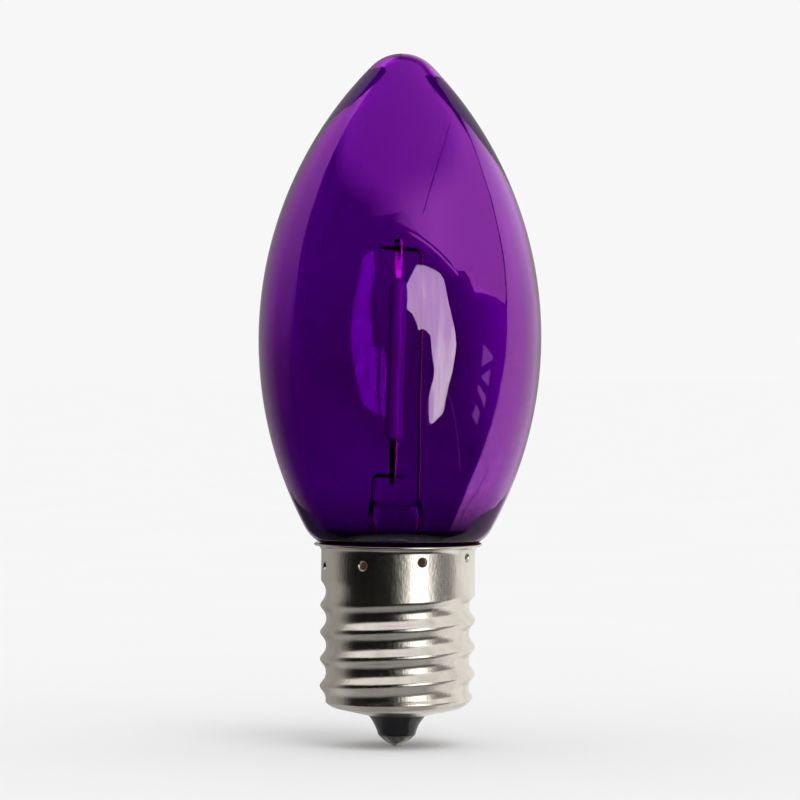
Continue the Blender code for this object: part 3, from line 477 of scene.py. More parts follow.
def build_glass():
    """Blown bulb with its wall, uneven as blown glass is. Its outer side only ripples inwards."""
    angles = columns_round(GLASS_COLUMNS)
    outer = np.array(glass_outline())
    inner = offset_outline(outer, GLASS_WALL)
    inner[-1, 1] = neck_end_z
    sides = []
    for side, waves, size in ((outer, OUTER_WAVES, OUTER_RIPPLE), (inner, INNER_WAVES, INNER_RIPPLE)):
        radius, height = np.hsplit(side[1:], 2)
        swell = ripple(angles, height, waves) * size
        swell *= smooth_step(radius / TIP_RADIUS) * smooth_step((height - rim_z) / NECK_FILLET)
        sides.append(lathe(side[1:], angles, -np.abs(swell) if side is outer else swell))
    rings = np.concatenate([sides[0], sides[1][::-1]])
    poles = [(0.0, 0.0, outer[0, 1]), (0.0, 0.0, outer[0, 1] - GLASS_WALL)]
    return rings_piece("bulb_glass", "glass_envelope", "purple_glass", rings, poles)


# Screw shell

DIMPLE_SPREAD = 0.0007
DIMPLE_STEP = 0.000055
DIMPLE_BRINK_RADIUS = DIMPLE_RADIUS * 1.15
DIMPLE_INNER_SHARE = 0.9
COLUMNS_BETWEEN_DIMPLES = 11
RINGS_PER_PITCH = 16
LIP_ANGLES = (60.0, 25.0, -25.0, -60.0)
SHELL_CORNER = (THREAD_RADIUS - SHELL_CORNER_RADIUS, shell_bottom_z + SHELL_CORNER_RISE)


def dish_angle():
    """Slope of the shell's dished bottom, tangent to its rounded corner."""
    across = SHELL_CORNER[0] - SHELL_OPENING_RADIUS
    span = math.hypot(across, SHELL_CORNER_RISE)
    return math.degrees(math.atan2(SHELL_CORNER_RISE, across) - math.asin(SHELL_CORNER_RADIUS / span))


def dimple_places():
    """Angle from +X and height of each dimple."""
    places = []
    for index in range(DIMPLE_COUNT):
        from_front = math.radians(DIMPLE_FIRST_ANGLE + index * 360.0 / DIMPLE_COUNT)
        tilt = collar_radius * math.tan(math.radians(DIMPLE_TILT)) * math.sin(from_front)
        places.append((from_front - math.pi / 2, rim_z - DIMPLE_DROP + tilt))
    return places


def shell_angles():
    """Angles of the shell's columns, close together over each dimple."""
    reach = DIMPLE_SPREAD / collar_radius
    near = np.linspace(-reach, reach, round(2 * DIMPLE_SPREAD / DIMPLE_STEP))
    far = np.linspace(reach, math.tau / DIMPLE_COUNT - reach, COLUMNS_BETWEEN_DIMPLES + 2)[1:-1]
    angles = [centre + np.concatenate([near, far]) for centre, _ in dimple_places()]
    return np.sort(np.concatenate(angles) % math.tau)


def shell_outline():
    """Outer side of the drawn cup, from the lip of its flared rim to the opening in its bottom."""
    outline = arc((rim_radius, rim_flare_z), RIM_FLARE, 88.0, 180.0, 9)
    heights = [place[1] for place in dimple_places()]
    dense_top = min(rim_flare_z - DIMPLE_STEP, max(heights) + DIMPLE_SPREAD)
    dense_bottom = min(heights) - DIMPLE_SPREAD
    outline += straight(outline[-1], (collar_radius, dense_top), 2)
    dense_rings = round((dense_top - dense_bottom) / DIMPLE_STEP)
    outline += straight(outline[-1], (collar_radius, dense_bottom), dense_rings)
    outline += straight(outline[-1], (collar_radius, runout_top_z), 4)
    rings = round((runout_top_z - SHELL_CORNER[1]) * RINGS_PER_PITCH / THREAD_PITCH)
    for _, height in straight((0.0, runout_top_z), (0.0, SHELL_CORNER[1]), rings):
        ease = float(smooth_step((thread_top_z - THREAD_RUNOUT / 2 - height) / THREAD_RUNOUT))
        outline.append((collar_radius + (THREAD_RADIUS - collar_radius) * ease, height))
    outline += arc(SHELL_CORNER, SHELL_CORNER_RADIUS, 0.0, dish_angle() - 90.0, 14)[1:]
    return outline + straight(outline[-1], (SHELL_OPENING_RADIUS, shell_bottom_z), 6)


def roll_thread(radius, height, angles):
    """Radius left by the right-hand helical groove, which fades out at the collar."""
    turns = (height - thread_crest_z) / THREAD_PITCH - angles / math.tau
    off_groove = turns - 0.5 - np.round(turns - 0.5)
    phase = math.tau * off_groove
    phase = phase - THREAD_CREST_SHARPNESS * np.sin(phase)
    depth = THREAD_DEPTH * 0.5 * (1.0 + np.cos(phase))
    depth *= smooth_step((thread_top_z - height + off_groove * THREAD_PITCH) / THREAD_RUNOUT)
    rolled = np.minimum(radius, THREAD_RADIUS - depth)
    return np.where(height > thread_top_z + THREAD_PITCH, radius, rolled)


def from_dimple(angles, height):
    """Distance over the collar from the middle of the nearest dimple."""
    nearest = np.full(np.broadcast(angles, height).shape, 1.0)
    for centre, place_z in dimple_places():
        across = (angles - centre + math.pi) % math.tau - math.pi
        nearest = np.minimum(nearest, np.hypot(across * collar_radius, height - place_z))
    return nearest


def dimple_depth(distance):
    """Depth of a dimple: a rounded brink, a steep cone and a flat floor where its hole is."""
    cone = DIMPLE_BRINK_RADIUS - DIMPLE_HOLE_RADIUS
    return DIMPLE_DEPTH * smooth_step((DIMPLE_BRINK_RADIUS - distance) / cone)


def build_shell():
    """Drawn cup with its rolled thread, rounded lip and pierced dimples that show the cement."""
    angles = shell_angles()
    outer = np.array(shell_outline())
    inner = offset_outline(outer, SHELL_WALL)
    inner[-1] = (SHELL_OPENING_RADIUS, shell_bottom_z + SHELL_WALL)
    lip = (outer[0] + inner[0]) / 2
    lip_edge = [lip + (SHELL_WALL / 2) * np.array([math.cos(a), math.sin(a)]) for a in np.radians(LIP_ANGLES)]
    sides = []
    for side, share, allowance in ((outer, 1.0, 0.0), (inner, DIMPLE_INNER_SHARE, SHELL_WALL)):
        radius, height = np.hsplit(side, 2)
        rolled = np.minimum(radius, roll_thread(radius + allowance, height, angles) - allowance)
        on_collar = (height > thread_top_z) & (height < rim_z - SHELL_WALL)
        rolled -= on_collar * share * dimple_depth(from_dimple(angles, height))
        sides.append(lathe(side, angles, rolled - radius))
    rings = np.concatenate([lathe(lip_edge, angles), sides[0], sides[1][::-1]])
    item = rings_piece("cap_shell", "screw_shell", "nickel_plate", rings)
    item.data.materials.append(materials["basing_cement"])
    floor_radius = collar_radius - DIMPLE_DEPTH - SHELL_WALL / 2
    for face in item.data.polygons:
        x, y, z = face.center
        if math.hypot(x, y) > floor_radius and z > thread_top_z:
            if from_dimple(math.atan2(y, x), z) < DIMPLE_HOLE_RADIUS:
                face.material_index = 1
    return item


# Insulator, contact and cement

TIP_WAVES = [(1, 0.004, 2.4, 0.6), (2, 0.003, 0.7, 0.35), (3, 0.0022, 4.0, 0.25), (5, 0.0015, 1.2, 0.12)]
INSULATOR_RIPPLE = 0.00005
INSULATOR_SWELL_BIAS = 0.6
INSULATOR_STEPS = 24
SOLDER_RIPPLE = 0.00004
SOLDER_STEPS = 22
SOLDER_TOP_RADIUS = SOLDER_RADIUS * 0.97
CEMENT_LIP = 0.0001
CEMENT_SQUEEZE = 0.9
CEMENT_WAVES = [(1, 0.5, 0.9, 0.5), (4, 0.5, 2.0, 0.3), (9, 0.5, 0.4, 0.2)]


def build_insulator():
    """Moulded black glass that fills the shell's bottom, a little uneven below it."""
    slope = dish_angle()
    pass_radius = SHELL_OPENING_RADIUS - SEAM_GAP
    side_radius = shell_bore_radius - FIT_GAP
    corner_radius = SHELL_CORNER_RADIUS - SHELL_WALL - FIT_GAP
    corner_start = -math.degrees(math.acos((side_radius - SHELL_CORNER[0]) / corner_radius))
    outline = [(side_radius, insulator_top_z)]
    outline += arc(SHELL_CORNER, corner_radius, corner_start, slope - 90.0, 8)
    drop = (outline[-1][0] - pass_radius) * math.tan(math.radians(slope))
    outline += straight(outline[-1], (pass_radius, outline[-1][1] - drop), 4)
    for step in range(1, INSULATOR_STEPS + 1):
        share = step / INSULATOR_STEPS
        waist = INSULATOR_WAIST * math.sin(math.pi * share)
        radius = pass_radius + (INSULATOR_TIP_RADIUS - pass_radius) * share - waist
        outline.append((radius, shell_bottom_z - INSULATOR_DROP * share))
    recess_radius = EYELET_FLANGE_RADIUS + SEAM_GAP
    recess_z = insulator_bottom_z + EYELET_WALL + SEAM_GAP
    bore_radius = EYELET_TUBE_RADIUS + SEAM_GAP
    outline += [(recess_radius, insulator_bottom_z), (recess_radius, recess_z)]
    outline += [(bore_radius, recess_z), (bore_radius, insulator_top_z)]
    angles = columns_round(SOLID_COLUMNS)
    radius, height = np.hsplit(np.array(outline), 2)
    below = smooth_step((shell_bottom_z - height) / (INSULATOR_DROP / 2)) * (radius > recess_radius)
    swell = below * (ripple(angles, height, TIP_WAVES) - INSULATOR_SWELL_BIAS) * INSULATOR_RIPPLE
    return rings_piece("insulator_glass", "base_insulator", "black_glass", lathe(outline, angles, swell))


def build_solder():
    """Domed solder contact, uneven as it set."""
    outline = [(SOLDER_TOP_RADIUS, SOLDER_HEIGHT)]
    for step in range(SOLDER_STEPS):
        share = math.cos(math.pi / 2 * step / SOLDER_STEPS)
        outline.append((SOLDER_RADIUS * share, SOLDER_HEIGHT * share ** (1.0 / SOLDER_FULLNESS)))
    angles = columns_round(SOLID_COLUMNS)
    radius, height = np.hsplit(np.array(outline), 2)
    swell = (ripple(angles, height, TIP_WAVES) - 1.0) * SOLDER_RIPPLE * radius / SOLDER_RADIUS
    poles = [(0.0, 0.0, SOLDER_HEIGHT), (0.0, 0.0, 0.0)]
    return rings_piece("contact_dome", "contact_solder", "solder_tin", lathe(outline, angles, swell), poles)


def build_cement():
    """Cement ring between the neck and the shell, squeezed up to the lip along part of the rim."""
    fillet = neck_fillet()[1]
    angles = columns_round(CEMENT_COLUMNS)
    bottom_z = neck_end_z + CEMENT_FOOT
    thread_bore = shell_bore_radius - FIT_GAP
    rim_arc = RIM_FLARE + SHELL_WALL + SEAM_GAP
    neck_arc = NECK_FILLET - SEAM_GAP
    squeeze = smooth_step(0.5 + CEMENT_SQUEEZE * ripple(angles, 0.0, CEMENT_WAVES))
    top_z = rim_z - CEMENT_RECESS / 2 + (CEMENT_RECESS / 2 + CEMENT_LIP) * squeeze
    columns = []
    for angle, height in zip(angles, top_z):
        rim_angle = 180.0 - math.degrees(math.asin(min(1.0, (height - rim_flare_z) / rim_arc)))
        neck_angle = 180.0 - math.degrees(math.asin(min(1.0, (height - fillet[1]) / neck_arc)))
        outline = arc((rim_radius, rim_flare_z), rim_arc, rim_angle, 180.0, 5)
        outline.append((collar_radius - SHELL_WALL - FIT_GAP, runout_top_z))
        outline += [(thread_bore, thread_top_z), (thread_bore, bottom_z), (neck_radius + FIT_GAP, bottom_z)]
        outline += arc(fillet, neck_arc, 180.0, neck_angle, 6)
        columns.append([(r * math.cos(angle), r * math.sin(angle), z) for r, z in outline])
    rings = np.array(columns).transpose(1, 0, 2)
    return rings_piece("cement_ring", "base_cement", "basing_cement", rings)


# Stem and leads

STEM_ROOF_SHIFT_SHARE = 0.2
WIRE_END_SHARE = 0.7


def trumpet(tube_radius, lip_radius, top_z, height):
    """Quarter ellipse that opens from a tube to a lip, down from a height."""
    turn = np.radians(np.linspace(0.0, 90.0, 15))
    width = lip_radius - tube_radius
    return [(lip_radius - width * math.cos(a), top_z - height * math.sin(a)) for a in turn]


def stem_outline():
    """Press, tube and flare with a flat lip, then back up inside the flare to its roof."""
    bore_radius = STEM_TUBE_RADIUS - STEM_WALL
    land_radius = neck_radius - GLASS_WALL
    flare_z = flare_top_z + STEM_FLARE_HEIGHT
    corner = (STEM_TUBE_RADIUS - PRESS_CORNER, press_top_z - PRESS_CORNER)
    outline = straight((0.0, press_top_z), (corner[0], press_top_z), 9)[:-1]
    outline += arc(corner, PRESS_CORNER, 90.0, 0.0, 6)
    outline += straight(outline[-1], (STEM_TUBE_RADIUS, flare_z), 36)
    outline += trumpet(STEM_TUBE_RADIUS, land_radius, flare_z, STEM_FLARE_HEIGHT)[1:]
    outline += [(neck_radius, flare_top_z), (neck_radius, flare_bottom_z)]
    outline += reversed(trumpet(bore_radius, land_radius, flare_z, STEM_FLARE_HEIGHT + STEM_WALL))
    outline += straight(outline[-1], (bore_radius, stem_roof_z - STEM_WALL), 12)
    return outline + arc((bore_radius - STEM_WALL, stem_roof_z - STEM_WALL), STEM_WALL, 0.0, 80.0, 5)[1:]


def pinch_press(points):
    """Squeeze the top of the flare tube into the flat press, with a bead of glass round each lead."""
    half_width = (LONG_LEAD_FOOT + SHORT_LEAD_FOOT) / 2 + PRESS_EDGE
    x, y, z = points[..., 0], points[..., 1], points[..., 2]
    share = smooth_step((z - press_top_z + PRESS_HEIGHT + PRESS_TAPER) / PRESS_TAPER)
    radius = np.maximum(np.hypot(x, y), 1e-9)
    power = 1.0 + (PRESS_SQUARENESS - 1.0) * share
    wide = np.sign(x) * np.abs(x / radius) ** power * radius
    deep = np.sign(y) * np.abs(y / radius) ** power * radius
    points[..., 0] = wide * (1.0 + (half_width / STEM_TUBE_RADIUS - 1.0) * share) + press_middle * share
    points[..., 1] = deep * (1.0 + (PRESS_THICKNESS / 2 / STEM_TUBE_RADIUS - 1.0) * share)
    for foot in (LONG_LEAD_FOOT, -SHORT_LEAD_FOOT):
        away = np.hypot(points[..., 0] - foot, points[..., 1])
        bead = PRESS_BEAD_RADIUS * np.exp(-((away / PRESS_BEAD_RADIUS) ** 2))
        points[..., 2] += bead * smooth_step((z - press_top_z + PRESS_CORNER) / PRESS_CORNER)
    return points


def build_stem():
    """Flare tube pinched into the press."""
    rings = pinch_press(lathe(stem_outline(), columns_round(STEM_COLUMNS)))
    poles = [(press_middle, 0.0, press_top_z), (press_middle * STEM_ROOF_SHIFT_SHARE, 0.0, stem_roof_z)]
    return rings_piece("stem_press", "stem_glass", "clear_glass", rings, poles)


def rounded_route(corners, bend_radius):
    """Points of a route through its corners, with each inner corner rounded."""
    points = [corners[0]]
    for before, corner, after in zip(corners, corners[1:], corners[2:]):
        back = (before - corner).normalized()
        ahead = (after - corner).normalized()
        half_angle = back.angle(ahead) / 2
        middle = corner + (back + ahead).normalized() * bend_radius / math.sin(half_angle)
        first = (corner + back * bend_radius / math.tan(half_angle) - middle).normalized()
        last = (corner + ahead * bend_radius / math.tan(half_angle) - middle).normalized()
        turns = [first.slerp(last, step / BEND_STEPS) for step in range(BEND_STEPS + 1)]
        points += [middle + turn * bend_radius for turn in turns]
    return points + [corners[-1]]


def finely(points, step):
    """A route with points added so that none are further apart than a step."""
    fine = [points[0]]
    for start, end in zip(points, points[1:]):
        parts = max(1, math.ceil((end - start).length / step))
        fine += [start.lerp(end, part / parts) for part in range(1, parts + 1)]
    return fine


def wire(name, node, points):
    """A drawn lead with narrowed ends."""
    last = len(points) - 1
    rings = []
    across = None
    for index, point in enumerate(points):
        along = (points[min(index + 1, last)] - points[max(index - 1, 0)]).normalized()
        across = across or along.orthogonal()
        across = (across - along * across.dot(along)).normalized()
        other = across.cross(along)
        radius = LEAD_RADIUS * (WIRE_END_SHARE if index in (0, last) else 1.0)
        turns = columns_round(WIRE_SIDES)
        rings.append([tuple(point + (across * math.cos(a) + other * math.sin(a)) * radius) for a in turns])
    poles = [tuple(points[0]), tuple(points[-1])]
    return rings_piece(name, node, "lead_metal", np.array(rings), poles)


def filament_point(distance):
    """Point on the filament's axis at a distance above its middle."""
    lean = math.radians(FILAMENT_LEAN)
    middle_z = press_top_z + FILAMENT_RISE + COAT_LENGTH / 2
    return Vector((-FILAMENT_OFFSET + distance * math.sin(lean), 0.0, middle_z + distance * math.cos(lean)))


def build_leads():
    """The two inner leads, from their welds on the tabs down into the press."""
    top_z = filament_point(COAT_LENGTH / 2 + TOP_TAB_LENGTH - TOP_WELD_INSET).z
    bottom_z = filament_point(-COAT_LENGTH / 2 - BOTTOM_TAB_LENGTH + BOTTOM_WELD_INSET).z
    embedded_z = press_top_z - LEAD_EMBED
    long_route = [
        Vector((-LONG_LEAD_TIP, 0.0, top_z + LEAD_SAG)),
        Vector((LONG_LEAD_REACH, 0.0, top_z - LEAD_SAG)),
        Vector((LONG_LEAD_FOOT, 0.0, embedded_z)),
    ]
    short_route = [
        Vector((SHORT_LEAD_TIP, 0.0, bottom_z - LEAD_SAG)),
        Vector((-SHORT_LEAD_REACH, 0.0, bottom_z + LEAD_SAG)),
        Vector((-SHORT_LEAD_FOOT, 0.0, embedded_z)),
    ]
    return [
        wire(name, node, finely(rounded_route(route, bend), LEAD_RADIUS * 2))
        for name, node, route, bend in (
            ("long_lead", "lead_wire_long", long_route, LONG_LEAD_BEND),
            ("short_lead", "lead_wire_short", short_route, SHORT_LEAD_BEND),
        )
    ]


# Filament

COAT_WAVES = [(1, 0.011, 0.3, 0.5), (2, 0.0062, 2.2, 0.3), (3, 0.0035, 4.1, 0.2)]
COAT_RIPPLE = 0.00003
COAT_END_START = 12.0
COAT_END_FULLNESS = 0.6
TAB_CUTS = 10
TOP_TAB_TWIST = 25.0
TAB_FOLD = 24.0
TAB_FOLD_START = 0.35
TAB_FOLD_END = 0.75


def filament_matrix():
    """Frame of the filament strip, which stands in front of the leads and leans a little."""
    stand_off = LEAD_RADIUS + SEAM_GAP + TAB_THICKNESS / 2
    place = filament_point(0.0) - Vector((0.0, stand_off, 0.0))
    return Matrix.Translation(place) @ Matrix.Rotation(math.radians(FILAMENT_LEAN), 4, "Y")


def build_coat():
    """Silicone coat moulded round the strip, with eased ends."""
    half = COAT_LENGTH / 2
    end = [
        (COAT_RADIUS * math.sin(a) ** COAT_END_FULLNESS, half - COAT_END_LENGTH * (1.0 - math.cos(a)))
        for a in np.radians(np.linspace(COAT_END_START, 90.0, 10))
    ]
    outline = end + straight(end[-1], (COAT_RADIUS, -end[-1][1]), 40)[:-1]
    outline += [(radius, -height) for radius, height in reversed(end)]
    angles = columns_round(COAT_SIDES)
    radius, height = np.hsplit(np.array(outline), 2)
    swell = (ripple(angles, height, COAT_WAVES) - 1.0) * COAT_RIPPLE * radius / COAT_RADIUS
    rings = lathe(outline, angles, swell)
    poles = [(0.0, 0.0, half), (0.0, 0.0, -half)]
    return rings_piece("silicone_coat", "filament_coat", "phosphor_coat", rings, poles, filament_matrix())


def tab_turn(across, up, twist):
    """Angle of a tab's face where its lower end is twisted and its right edge is folded back."""
    twisted = twist * (1.0 - float(smooth_step(up)))
    folded = float(smooth_step((across - TAB_FOLD_START) / (TAB_FOLD_END - TAB_FOLD_START)))
    return math.radians(twisted + (max(TAB_FOLD, twisted) - twisted) * folded)


def build_tab(name, node, corners, twist=0.0):
    """A stamped tab in the filament's frame with softened edges. Corners are (across, up) pairs.

    Its right edge is folded back, and its lower end is twisted by an angle that eases out upwards."""
    work = bmesh.new()
    front = [work.verts.new((x, -TAB_THICKNESS / 2, z)) for x, z in corners]
    work.faces.new(front)
    back = [work.verts.new((x, TAB_THICKNESS / 2, z)) for x, z in corners]
    work.faces.new(list(reversed(back)))
    for i in range(len(corners)):
        k = (i + 1) % len(corners)
        work.faces.new([front[k], front[i], back[i], back[k]])
    edge = TAB_THICKNESS / 4
    bmesh.ops.bevel(work, geom=work.edges[:], offset=edge, segments=2, profile=0.5, affect="EDGES")
    bmesh.ops.recalc_face_normals(work, faces=work.faces)
    half = max(x for x, _ in corners)
    low = min(z for _, z in corners)
    rise = max(z for _, z in corners) - low
    for step in range(1, TAB_CUTS):
        share = step / TAB_CUTS
        level = (0.0, 0.0, low + rise * share)
        upright = (half * (2.0 * share - 1.0), 0.0, 0.0)
        for place, normal in ((level, AXIS_Z), (upright, AXIS_X)):
            pieces = work.verts[:] + work.edges[:] + work.faces[:]
            bmesh.ops.bisect_plane(work, geom=pieces, plane_co=place, plane_no=normal)
    for vertex in work.verts:
        x, y, z = vertex.co
        up = (z - low) / rise
        turns = [tab_turn(x / half * (step + 0.5) / TAB_CUTS, up, twist) for step in range(TAB_CUTS)]
        turn = tab_turn(x / half, up, twist)
        across = x * sum(math.cos(a) for a in turns) / TAB_CUTS - y * math.sin(turn)
        deep = x * sum(math.sin(a) for a in turns) / TAB_CUTS + y * math.cos(turn)
        vertex.co = (across, deep, z)
    work.verts.index_update()
    vertices = [tuple(vertex.co) for vertex in work.verts]
    faces = [[vertex.index for vertex in face.verts] for face in work.faces]
    work.free()
    return add_piece(name, node, "lead_metal", vertices, faces, filament_matrix())


def build_tabs():
    """Flat metal tab at each end of the strip."""
    half = COAT_LENGTH / 2
    foot = half - SUBSTRATE_INSET + SEAM_GAP
    top = half + TOP_TAB_LENGTH
    side = TOP_TAB_WIDTH / 2
    corners = [(-side, foot), (side, foot), (side, top), (-side, top)]
    upper = build_tab("top_tab", "filament_tab_top", corners, TOP_TAB_TWIST)
    tip = -half - BOTTOM_TAB_LENGTH
    step = tip + BOTTOM_TAB_TIP_LENGTH
    root = BOTTOM_TAB_WIDTH / 2
    end = BOTTOM_TAB_TIP_WIDTH / 2
    right = [(end, tip), (end, step), (root, step), (root, -foot)]
    corners = [(-end, tip), *right, *[(-x, z) for x, z in reversed(right[1:])]]
    return upper, build_tab("bottom_tab", "filament_tab_bottom", corners)


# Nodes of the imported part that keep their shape, by their finish

KEPT_NODES = {
    "clear_glass": ["exhaust_tube"],
    "seal_metal": ["seal_wire_long", "seal_wire_short"],
    "copper": ["outer_lead_long", "outer_lead_short", "fuse_lead", "contact_lead", "shell_lead"],
    "substrate_ceramic": ["filament_substrate", "sense_resistor"],
    "eyelet_brass": ["contact_eyelet"],
    "board_laminate": ["driver_board"],
    "package_moulding": ["bridge_rectifier", "current_regulator"],
    "resistor_coat": ["fuse_resistor"],
    "solder_tin": ["shell_solder"],
    "led_chip": [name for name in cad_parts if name.startswith("led_chip")],
}


def finish_kept_nodes():
    """Give the inner nodes that show no finer shape their materials."""
    for finish, names in KEPT_NODES.items():
        for name in names:
            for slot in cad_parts[name].material_slots:
                slot.material = materials[finish]


# Light cards of the studio

CARD_STEPS = 12
FLAG_STEPS = 36
FLAG_DISTANCE = 0.62
FLAG_BOTTOM = -85.0
ROUND_AZIMUTHS = np.linspace(-180.0, 180.0, 73)
OVERHEAD_TOP = 89.0
UPPER_SIDE_START = 5.0
MOTTLE_SHARE = 0.3
MIRROR_DEPTH = 0.5
GLASS_PASSES = (2.0, 3.0)
GLINT_WIDTH = 0.8
CABLE_WIDTH = 0.9
KEY_DISTANCE = 0.5
KEY_STRENGTH = 12.0
KEY_LINE = (DOWN, -0.227, 0.163)
KEY_INSIDE = 5.2
KEY_MOTTLE = (22.0, 22.0, 7.0)
BAR_COLOUR = (1.0, 0.35, 1.0)
BAR_STRENGTH = 1.9
BLACK = (0.0, 0.0, 0.0)
UPPER_GREY = (0.3, 0.34, 0.26)
LOWER_GREY = (0.31, 0.3, 0.28)

KEY_OUTLINE = [
    (13.7, 22.6), (20.4, 22.4), (28.2, 21.0), (34.0, 19.5), (36.5, 17.8), (38.0, 14.9), (39.7, 10.7),
    (42.3, 6.3), (44.8, 1.5), (45.5, -1.1), (44.8, -3.9), (43.1, -8.6), (40.8, -12.6), (38.9, -17.1),
    (38.4, -20.4), (34.2, -22.2), (28.4, -24.3), (26.6, -24.0), (24.9, -19.4), (24.6, -16.1), (26.0, -13.5),
    (27.4, -11.5), (27.9, -8.2), (26.3, -5.7), (24.9, -1.7), (24.2, 1.2), (21.4, 2.6), (18.1, 3.3),
    (14.7, 3.0), (12.4, 5.7), (9.7, 7.9), (5.2, 9.3), (5.8, 12.5), (5.2, 16.8), (8.2, 18.8), (11.2, 21.0),
]
WINDOW_BARS = {
    "bar_1": [(70.4, -0.7), (80.1, -3.2), (80.2, -4.1), (69.0, -6.6)],
    "bar_2": [(78.3, -6.6), (68.9, -8.9), (78.2, -10.7)],
    "bar_3": [(67.7, -10.8), (77.2, -13.3), (77.1, -16.0), (67.3, -12.3)],
    "bar_4": [(68.3, -15.8), (73.2, -17.4), (72.9, -20.9), (65.6, -18.8)],
}
OVERHEAD_EDGE = [
    (-70, 33), (-9, 38.5), (0, 39.5), (8, 38), (14, 33.2), (18, 31.7), (27, 28.9), (35.5, 25.9),
    (43.5, 22.3), (48.6, 19.4), (56, 18.8), (59, 17.3), (64, 12.2), (68, 12.4), (78, 11), (85, 10), (89, 9),
    (96, 7.5), (97.5, 11), (101, 17.5), (103, 23.5), (107.5, 28.2), (111, 32.5), (116, 35), (122, 37),
]
GLINT_EDGE = [(-8, 34.8), (0, 34.8), (9, 33), (18, 30.9), (27, 28.2), (35.2, 25.2), (43, 21.7), (50, 18.5)]
SIDE_EDGE = [
    (117.6, 55.4), (124, 46.6), (131, 37.5), (121.4, 35.6), (116.8, 34.2), (112.7, 32.3), (109.1, 27.8),
    (104.5, 22.9), (102.6, 17.5), (98.6, 10), (96.9, 6), (95.2, -0.6), (94.1, -5.5), (91.8, -9.4),
    (90.2, -15.3), (87.2, -22.2), (82.5, -34), (82.5, -43), (84, -50), (88, -60),
]
LEFT_EDGE = [
    (-118, 60), (-113.8, 52.5), (-109.5, 45), (-105.3, 37.5), (-101, 30), (-99.4, 21), (-97, 14.7),
    (-94.5, 8.5), (-95.6, -2), (-97.1, -12.3), (-102, -22), (-104, -28.5), (-106, -35),
]
CABLE_SIDES = (
    [(102.6, 49.8), (78.2, 52.8), (57.9, 51.7), (42.5, 48.3), (31.3, 43.7), (22.5, 38.4)],
    [(104.1, 49.1), (79.9, 52.4), (59.3, 51.4), (44.0, 48.1), (32.5, 43.6), (23.6, 38.3)],
)
CABLE_LOW_SIDE = [
    (98.6, -25.9), (99.5, -27.5), (98.2, -29.7), (96.3, -32.4), (92.3, -36.1), (90, -39.9), (90.6, -42.8),
]
STREAK_SIDES = (
    [(38.3, -13.4), (44.9, -17.8), (51.2, -23.0), (58.4, -29.1), (66.2, -34.2)],
    [(38.9, -13.3), (45.7, -17.8), (52.0, -23.0), (59.3, -29.0), (67.2, -34.0)],
)
DARK_UPPER_RIGHT = (
    [(117.7, 53.1), (120.2, 48.2), (123.1, 43.6), (127.5, 40.2), (130.6, 37.5), (133.3, 34.4), (136.6, 31),
     (139, 28.1), (142.2, 25.1), (146, 21.8), (152, 17.5), (160, 12), (170, 6)],
    [(118.6, 57), (123, 57), (128, 52.5), (133, 48.5), (137.4, 44.6), (142.9, 39.3), (148.8, 34.2),
     (152.6, 30.7), (157.6, 26.1), (160.5, 23), (164, 19), (168, 14), (174, 7.5)],
)
DARK_UPPER_LEFT = (
    [(-111.7, 62.7), (-116.3, 55.9), (-121.5, 48.9), (-127.8, 42), (-132, 38.6), (-136.8, 35), (-143.6, 29.3),
     (-150.2, 24), (-153.8, 20.5), (-160, 14.5), (-170, 6)],
    [(-114, 66.5), (-122, 62), (-129, 57), (-135.8, 49.2), (-141.3, 43.6), (-147.4, 37.6), (-152, 33),
     (-155.3, 29.9), (-160.7, 24.6), (-166, 18), (-174, 7.5)],
)
DARK_LOWER_RIGHT = (
    [(110.8, -60), (116.7, -60), (121.8, -60), (130.9, -60), (141.3, -56), (144.6, -50), (160, -28)],
    [(110.8, -34.8), (116.7, -31.9), (121.8, -29), (130.9, -24.6), (141.3, -19.8), (144.6, -17.6),
     (160, -10)],
)
DARK_LOWER_LEFT = (
    [(-110, -60), (-119, -60), (-126.7, -60), (-134.8, -56), (-145, -50), (-160, -28)],
    [(-110, -37), (-119, -31.2), (-126.7, -27.3), (-134.8, -23.3), (-145, -18.3), (-160, -10)],
)
GREY_UPPER_RIGHT = (
    [(130.2, 38.5), (130.9, 37.6), *DARK_UPPER_RIGHT[0][5:-1], (165, 9), (172, 5), (180, 0)],
    [(129.5, 41), (132.6, 41.8), (136, 43.2), *DARK_UPPER_RIGHT[1][5:], (180, 1.5)],
)
GREY_UPPER_LEFT = (
    [(-129.3, 41), *DARK_UPPER_LEFT[0][4:7], (-147, 26.6), *DARK_UPPER_LEFT[0][7:10], (-168, 8), (-180, 0)],
    [(-127.3, 46), (-126.8, 51), (-129, 55), *DARK_UPPER_LEFT[1][3:6], *DARK_UPPER_LEFT[1][7:9], (-168, 14),
     (-180, 1.5)],
)
GREY_LOWER_RIGHT = (DARK_LOWER_RIGHT[0] + [(180, -2)], DARK_LOWER_RIGHT[1] + [(180, 0)])
GREY_LOWER_LEFT = (DARK_LOWER_LEFT[0][1:] + [(-180, -2)], DARK_LOWER_LEFT[1][1:] + [(-180, 0)])

